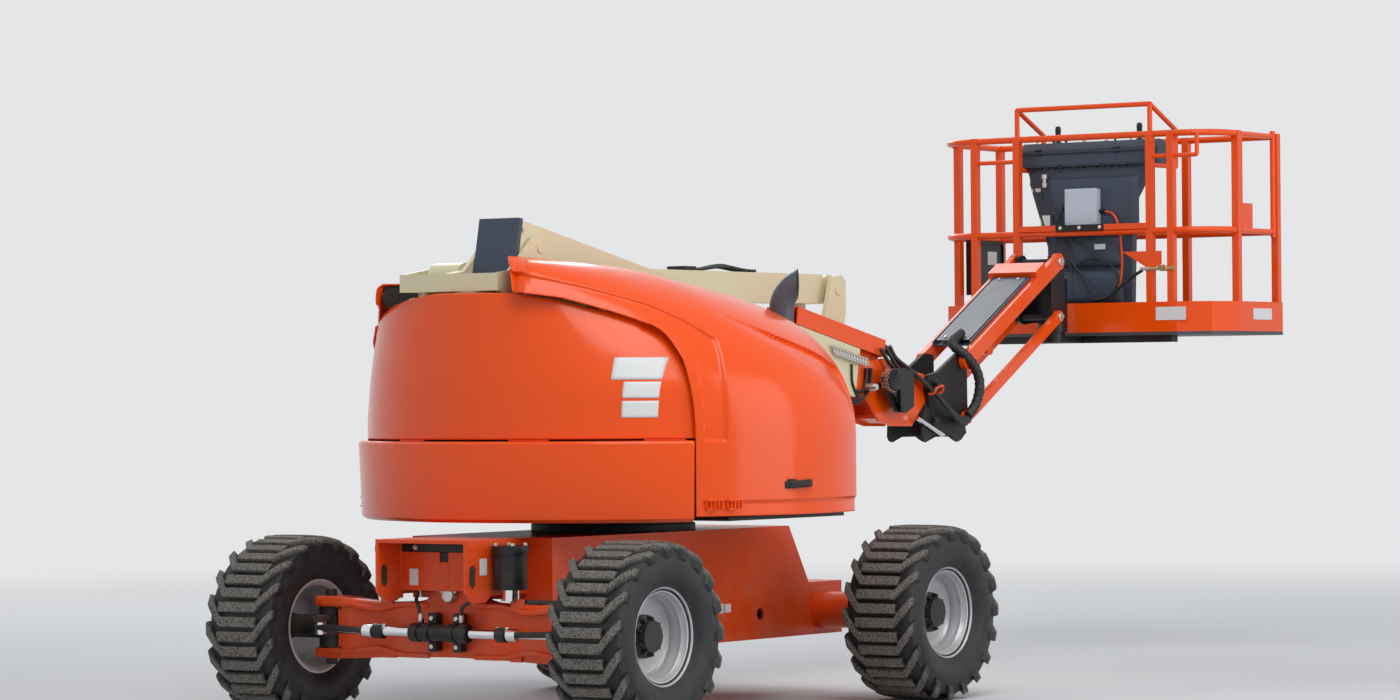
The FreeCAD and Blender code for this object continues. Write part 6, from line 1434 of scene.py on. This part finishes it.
@dataclass
class Platform(Assembly):
    """Console, panel, boxes, plates, cables and floor pattern of the platform."""

    @staticmethod
    def cushion(centre: tuple, size: tuple, power: float = 5.0) -> Shape:
        """Moulded pad on the panel's face: depth times (1 - |u|^p)^(1/2) (1 - |v|^p)^(1/2), closed at its foot.

        Args:
            centre: X of the foot, Y and Z of the middle.
            size: Depth towards the front, width and height.
            power: How square it is.

        Returns:
            The pad.
        """
        u = np.sin(np.linspace(-0.5, 0.5, 33) * math.pi)[:, None]
        v = np.sin(np.linspace(-0.5, 0.5, 33) * math.pi)[None, :]
        rise = np.sqrt((1 - np.abs(u) ** power) * (1 - np.abs(v) ** power))
        wide, tall = u * size[1] / 2 * np.ones_like(v), v * size[2] / 2 * np.ones_like(u)
        shift = np.array(centre)
        top = grid(np.stack([-size[0] * rise, wide, tall], axis=-1) + shift)
        foot = grid(np.stack([0 * rise, wide, tall], axis=-1)[::-1] + shift)
        return merged([top, foot])

    @staticmethod
    def lid_height(x: float) -> float:
        """Foot of a knob on the console's slanted lid."""
        return 2.86 - 0.036 * (x - 4.424) / 0.156 - 0.004

    def console(self) -> None:
        """Lid rim, latches, knobs, levers and the sockets below the console."""
        rim = rim_bar([(4.382, -0.492, 2.806), (4.382, 0.354, 2.806), (4.58, 0.354, 2.806), (4.58, -0.492, 2.806)],
                      0.02, 3, (0.012, 0.014, 0.003))
        self.piece("console_rim", rim, SLATE, "platform", smooth=40)
        body = self.cushion((4.392, -0.069, 2.762), (0.006, 0.80, 0.062), 8.0)
        self.piece("console_front", body, SLATE, "platform", smooth=40)
        latches = [shape for y in (0.25, -0.25) for shape in (block((0.012, 0.030, 0.034), (4.385, y, 2.808)),
                                                              rod(-0.02, 0.02, 0.006, "Y", 12).moved(4.378, y,
                                                                                                     2.818))]
        sockets = [lathe([(0.0, 0.0), (-0.02, 0.0), (-0.02, r), (0.0, r * 1.15)][::-1], "Z",
                         12).moved(4.40 + 0.012 * (k % 2), y, 2.735) for k,
                   (y, r) in enumerate(zip(np.linspace(-0.33, 0.30, 15), (0.010, 0.014, 0.009) * 5))]
        self.piece("console_latches", latches + sockets, BLACK, "platform", smooth=35)
        knobs = {RED: ((4.52, -0.11),), CREAM: ((4.50, 0.02), (4.50, -0.36)),
                 BRASS: ((4.46, 0.30), (4.46, -0.30), (4.54, -0.24)), BLACK: ((4.47, 0.20), (4.47, 0.12),
                                                                              (4.55, 0.26), (4.55, -0.18),
                                                                              (4.46, -0.20), (4.54, 0.10),
                                                                              (4.54, -0.40), (4.47, -0.42))}
        for finish, places in knobs.items():
            made = [lathe([(0.0, 0.0), (0.0, 0.012), (0.008, 0.012), (0.010, 0.007), (0.022, 0.006), (0.026, 0.011),
                           (0.034, 0.011), (0.038, 0.006), (0.038, 0.0)], "Z", 16).moved(x, y, self.lid_height(x))
                    for x, y in places]
            self.piece("console_knobs_" + finish.name.split("_")[0], made, finish, "platform", smooth=40, slot="")
        levers = [lathe([(0.0, 0.0), (0.0, 0.034), (0.010, 0.034), (0.016, 0.026), (0.022, 0.028), (0.028, 0.020),
                         (0.034, 0.021), (0.042, 0.012), (0.060, 0.011), (0.075, 0.015), (0.105, 0.017),
                         (0.122, 0.014), (0.128, 0.0)], "Z", 20).moved(4.52, y, self.lid_height(4.52))
                  for y in (0.20, -0.32)]
        self.piece("console_levers", levers, BLACK, "platform", smooth=50)

    def panel(self) -> None:
        """Moulded shell of the panel with its lower pads, the boxes' screws and the fittings on it."""
        pads = [self.cushion((4.4205, -0.07, 2.50), (0.030, 0.60, 0.33), 6.0),
                self.cushion((4.4205, -0.055, 2.245), (0.035, 0.42, 0.165), 5.0),
                self.cushion((4.4205, -0.05, 2.05), (0.045, 0.44, 0.20), 4.0),
                self.cushion((4.4205, -0.05, 1.88), (0.030, 0.42, 0.125), 4.0)]
        self.piece("panel_shell", pads, SLATE, "platform", smooth=50)
        screws = [hexagon((4.34, y, z), "X", 0.006, -0.003) for y in (-0.128, 0.042) for z in (2.412, 2.58)]
        rim = rim_bar([(4.35, -0.143, 2.397), (4.35, 0.057, 2.397), (4.35, 0.057, 2.595), (4.35, -0.143, 2.595)],
                      0.006, 2, (0.004, 0.004, 0.001), (1.0, 0.0, 0.0))
        self.piece("electrical_box_lid", rim, GREY_BOX, "platform")
        glands = [lathe([(-0.012, 0.0), (-0.012, 0.011), (0.006, 0.013), (0.022, 0.010), (0.022, 0.0)], "Y",
                        16).moved(4.382, y, z) for y, z in ((-0.16, 2.47), (0.072, 2.50))]
        self.piece("box_glands", glands, BLACK, "platform", smooth=40)
        fitting = lathe([(0.0, 0.0), (0.0, 0.014), (0.022, 0.016), (0.030, 0.010), (0.045, 0.010), (0.048, 0.017),
                         (0.072, 0.017), (0.072, 0.0)], "Z", 16)
        module = block((0.03, 0.062, 0.07), (4.376, 0.195, 2.42))
        self.piece("panel_fittings", [fitting.moved(4.385, 0.211, 2.612), module] + screws, ZINC, "platform",
                   bevel=0.001)
        self.piece("orange_cable", hose([(4.382, -0.178, 2.468), (4.372, -0.235, 2.448), (4.37, -0.268, 2.38),
                                         (4.372, -0.283, 2.27), (4.374, -0.285, 2.17), (4.37, -0.272, 2.07),
                                         (4.36, -0.215, 1.99)], 0.0065), ORANGE, "platform", smooth=50, slot="")
        cables = [[(4.38, 0.21, 2.61), (4.372, 0.19, 2.54), (4.368, 0.13, 2.44), (4.37, 0.09, 2.36),
                   (4.36, 0.05, 2.25), (4.35, 0.02, 2.10), (4.32, 0.0, 2.02)],
                  [(4.38, 0.09, 2.50), (4.365, 0.11, 2.44), (4.366, 0.10, 2.38), (4.36, 0.04, 2.33),
                   (4.355, -0.06, 2.27), (4.36, -0.16, 2.20)], [(4.36, 0.0, 2.17), (4.355, -0.06, 2.20),
                                                                (4.355, -0.14, 2.205), (4.36, -0.22, 2.17),
                                                                (4.362, -0.27, 2.09), (4.355, -0.24, 2.02)],
                  [(4.36, 0.13, 2.36), (4.35, 0.10, 2.27), (4.35, 0.02, 2.19), (4.36, -0.05, 2.10),
                   (4.35, -0.10, 2.02)], [(4.37, 0.30, 2.70), (4.37, 0.27, 2.60), (4.365, 0.235, 2.50),
                                          (4.36, 0.20, 2.38), (4.35, 0.16, 2.28), (4.33, 0.10, 2.14)],
                  [(4.325, -0.44, 2.135), (4.33, -0.35, 2.085), (4.335, -0.26, 2.02), (4.34, -0.20, 1.985),
                   (4.34, -0.12, 1.975)]]
        lines = [hose(c, 0.0065 if k < 5 else 0.009) for k, c in enumerate(cables)]
        self.piece("panel_cables", lines, RUBBER, "platform", smooth=50)

    def guard(self) -> None:
        """Block and bolts on the flat bar, the air valve on its bracket, and the blank plates."""
        bar = plate((0.02, 0.304, 0.034), (4.305, -0.06, 2.378), "X", 0.006)
        self.piece("bar_block", bar, BLACK, "platform", bevel=0.002)
        bolts = [hexagon((4.295, y, 2.378), "X", 0.009, -0.008) for y in (0.06, -0.06, -0.19)]
        bolts += [lathe([(0.0, 0.0), (0.0, 0.011), (0.03, 0.011), (0.034, 0.008), (0.06, 0.008), (0.06, 0.0)], "Y",
                        12).moved(4.302, -0.50, 2.142)]
        self.piece("bar_bolts", bolts, ZINC, "platform", smooth=30)
        valve = lathe([(-0.15, 0.0), (-0.15, 0.010), (-0.11, 0.010), (-0.105, 0.015), (-0.065, 0.015),
                       (-0.06, 0.010), (0.0, 0.010), (0.0, 0.0)], "Y", 16)
        handle = lathe([(0.0, 0.0), (0.0, 0.008), (0.055, 0.006), (0.055, 0.0)], "X", 10).pitched(8)
        self.piece("air_valve", [valve.moved(4.302, -0.50, 2.142), handle.moved(4.25, -0.585, 2.15)], BRASS,
                   "platform", smooth=35)
        blanks = [plate((LABEL, 0.186, 0.072), (4.2985, -0.629, 1.895), "X", 0.004),
                  plate((0.215, LABEL, 0.061), (4.822, -0.9158, 1.892), "Y", 0.004),
                  plate((LABEL, 0.07, 0.03), (4.376, -0.145, 2.273), "X", 0.003),
                  plate((LABEL, 0.06, 0.02), (4.417, 0.285, 2.60), "X", 0.003)]
        self.piece("blank_plates_platform", blanks, WHITE, "platform")
        lid = rim_bar([(4.635, 0.803, 2.045), (4.915, 0.803, 2.045), (4.915, 0.803, 2.325), (4.635, 0.803, 2.325)],
                      0.02, 3, (0.008, 0.010, 0.002), (0.0, 1.0, 0.0))
        self.piece("manual_box_lid", lid, BLACK, "platform")
        self.piece("manual_box_plate", plate((0.10, LABEL, 0.075), (4.80, 0.8066, 2.24), "Y", 0.003), WHITE,
                   "platform")

    def deck(self) -> None:
        """Raised lozenges of the floor plate, laid in alternate directions."""
        i, j = np.meshgrid(np.arange(13), np.arange(31), indexing="ij")
        x, y = 4.40 + 0.05 * i.ravel(), -0.78 + 0.052 * j.ravel()
        keep = (x > 4.49) | (np.abs(y) < 0.60)
        x, y, odd = x[keep], y[keep], ((i + j).ravel() % 2 == 0)[keep]
        shape = np.array([[-1.0, 0.0], [0.0, -0.28], [1.0, 0.0], [0.0, 0.28]]) * 0.018
        turned = np.where(odd[:, None, None], shape[None] @ np.array([[0.707, 0.707], [-0.707, 0.707]]),
                          shape[None] @ np.array([[0.707, -0.707], [0.707, 0.707]]))
        low = np.concatenate([turned + np.stack([x, y], axis=-1)[:, None], np.full((len(x), 4, 1), 1.7999)], axis=-1)
        high = np.concatenate([turned * 0.72 + np.stack([x, y], axis=-1)[:, None], np.full((len(x), 4, 1), 1.8022)],
                              axis=-1)
        points = np.concatenate([low, high], axis=1).reshape(-1, 3)
        faces = np.array([[4, 5, 6, 7], [0, 1, 5, 4], [1, 2, 6, 5], [2, 3, 7, 6], [3, 0, 4, 7], [3, 2, 1, 0]])
        everything = (faces[None] + 8 * np.arange(len(x))[:, None, None]).reshape(-1, 4)
        self.piece("deck_pattern", Shape(points, everything), FLOOR_STEEL, "platform", smooth=10)

    def build(self) -> None:
        """Make every part of the platform."""
        self.console()
        self.panel()
        self.guard()
        self.deck()
        self.report()


# Every node that isn't named here is black, save the tyres and rims, which get rubber and silver
FRAME_FINISHES = {
    CHASSIS_ORANGE: "chassis_frame steer_axle drive_axle",
    CAST: "slewing_ring knuckle_right knuckle_left jib_base",
    CHROME: "steering_rod tower_cylinder_rod lift_cylinder_rod jib_cylinder_rod",
    CREAM: "tower_lower_arm tower_lower_link tower_upper_arm tower_upper_link tower_knuckle upright main_boom",
    ORANGE: "fly_boom jib_arms jib_links toe_boards platform_rails gate hose_cover counterweight rear_panel "
            "hood_right hood_left",
    SLATE: "console control_panel boom_end_cap", SLATE_PAINT: "jib_tray", GREY_BOX: "electrical_box",
    FLOOR_STEEL: "platform_floor", DARK_AND_SHADE: "engine_block", STACK: "exhaust_stack",
}


def dress_frame(frame: dict) -> None:
    """Give every CAD node its finish.
    """
    finishes = {name: finish for finish, names in FRAME_FINISHES.items() for name in names.split()}
    for name, node in frame["nodes"].items():
        finish = finishes.get(name, {"tyre": TREAD, "rim": SILVER}.get(name.split("_")[0], BLACK))
        node.data.materials.clear()
        node.data.materials.append(finish.material())


def main() -> None:
    """Build the whole scene around the frame."""
    logging.basicConfig(level=logging.INFO)
    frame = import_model()
    Studio().build()
    dress_frame(frame)
    Covers().build()
    for end in End:
        for side in Side:
            Wheel(end=end, side=side).build()
    for assembly in (Chassis, Booms, Jib, Platform):
        assembly().build()


if __name__ == "__main__":
    main()
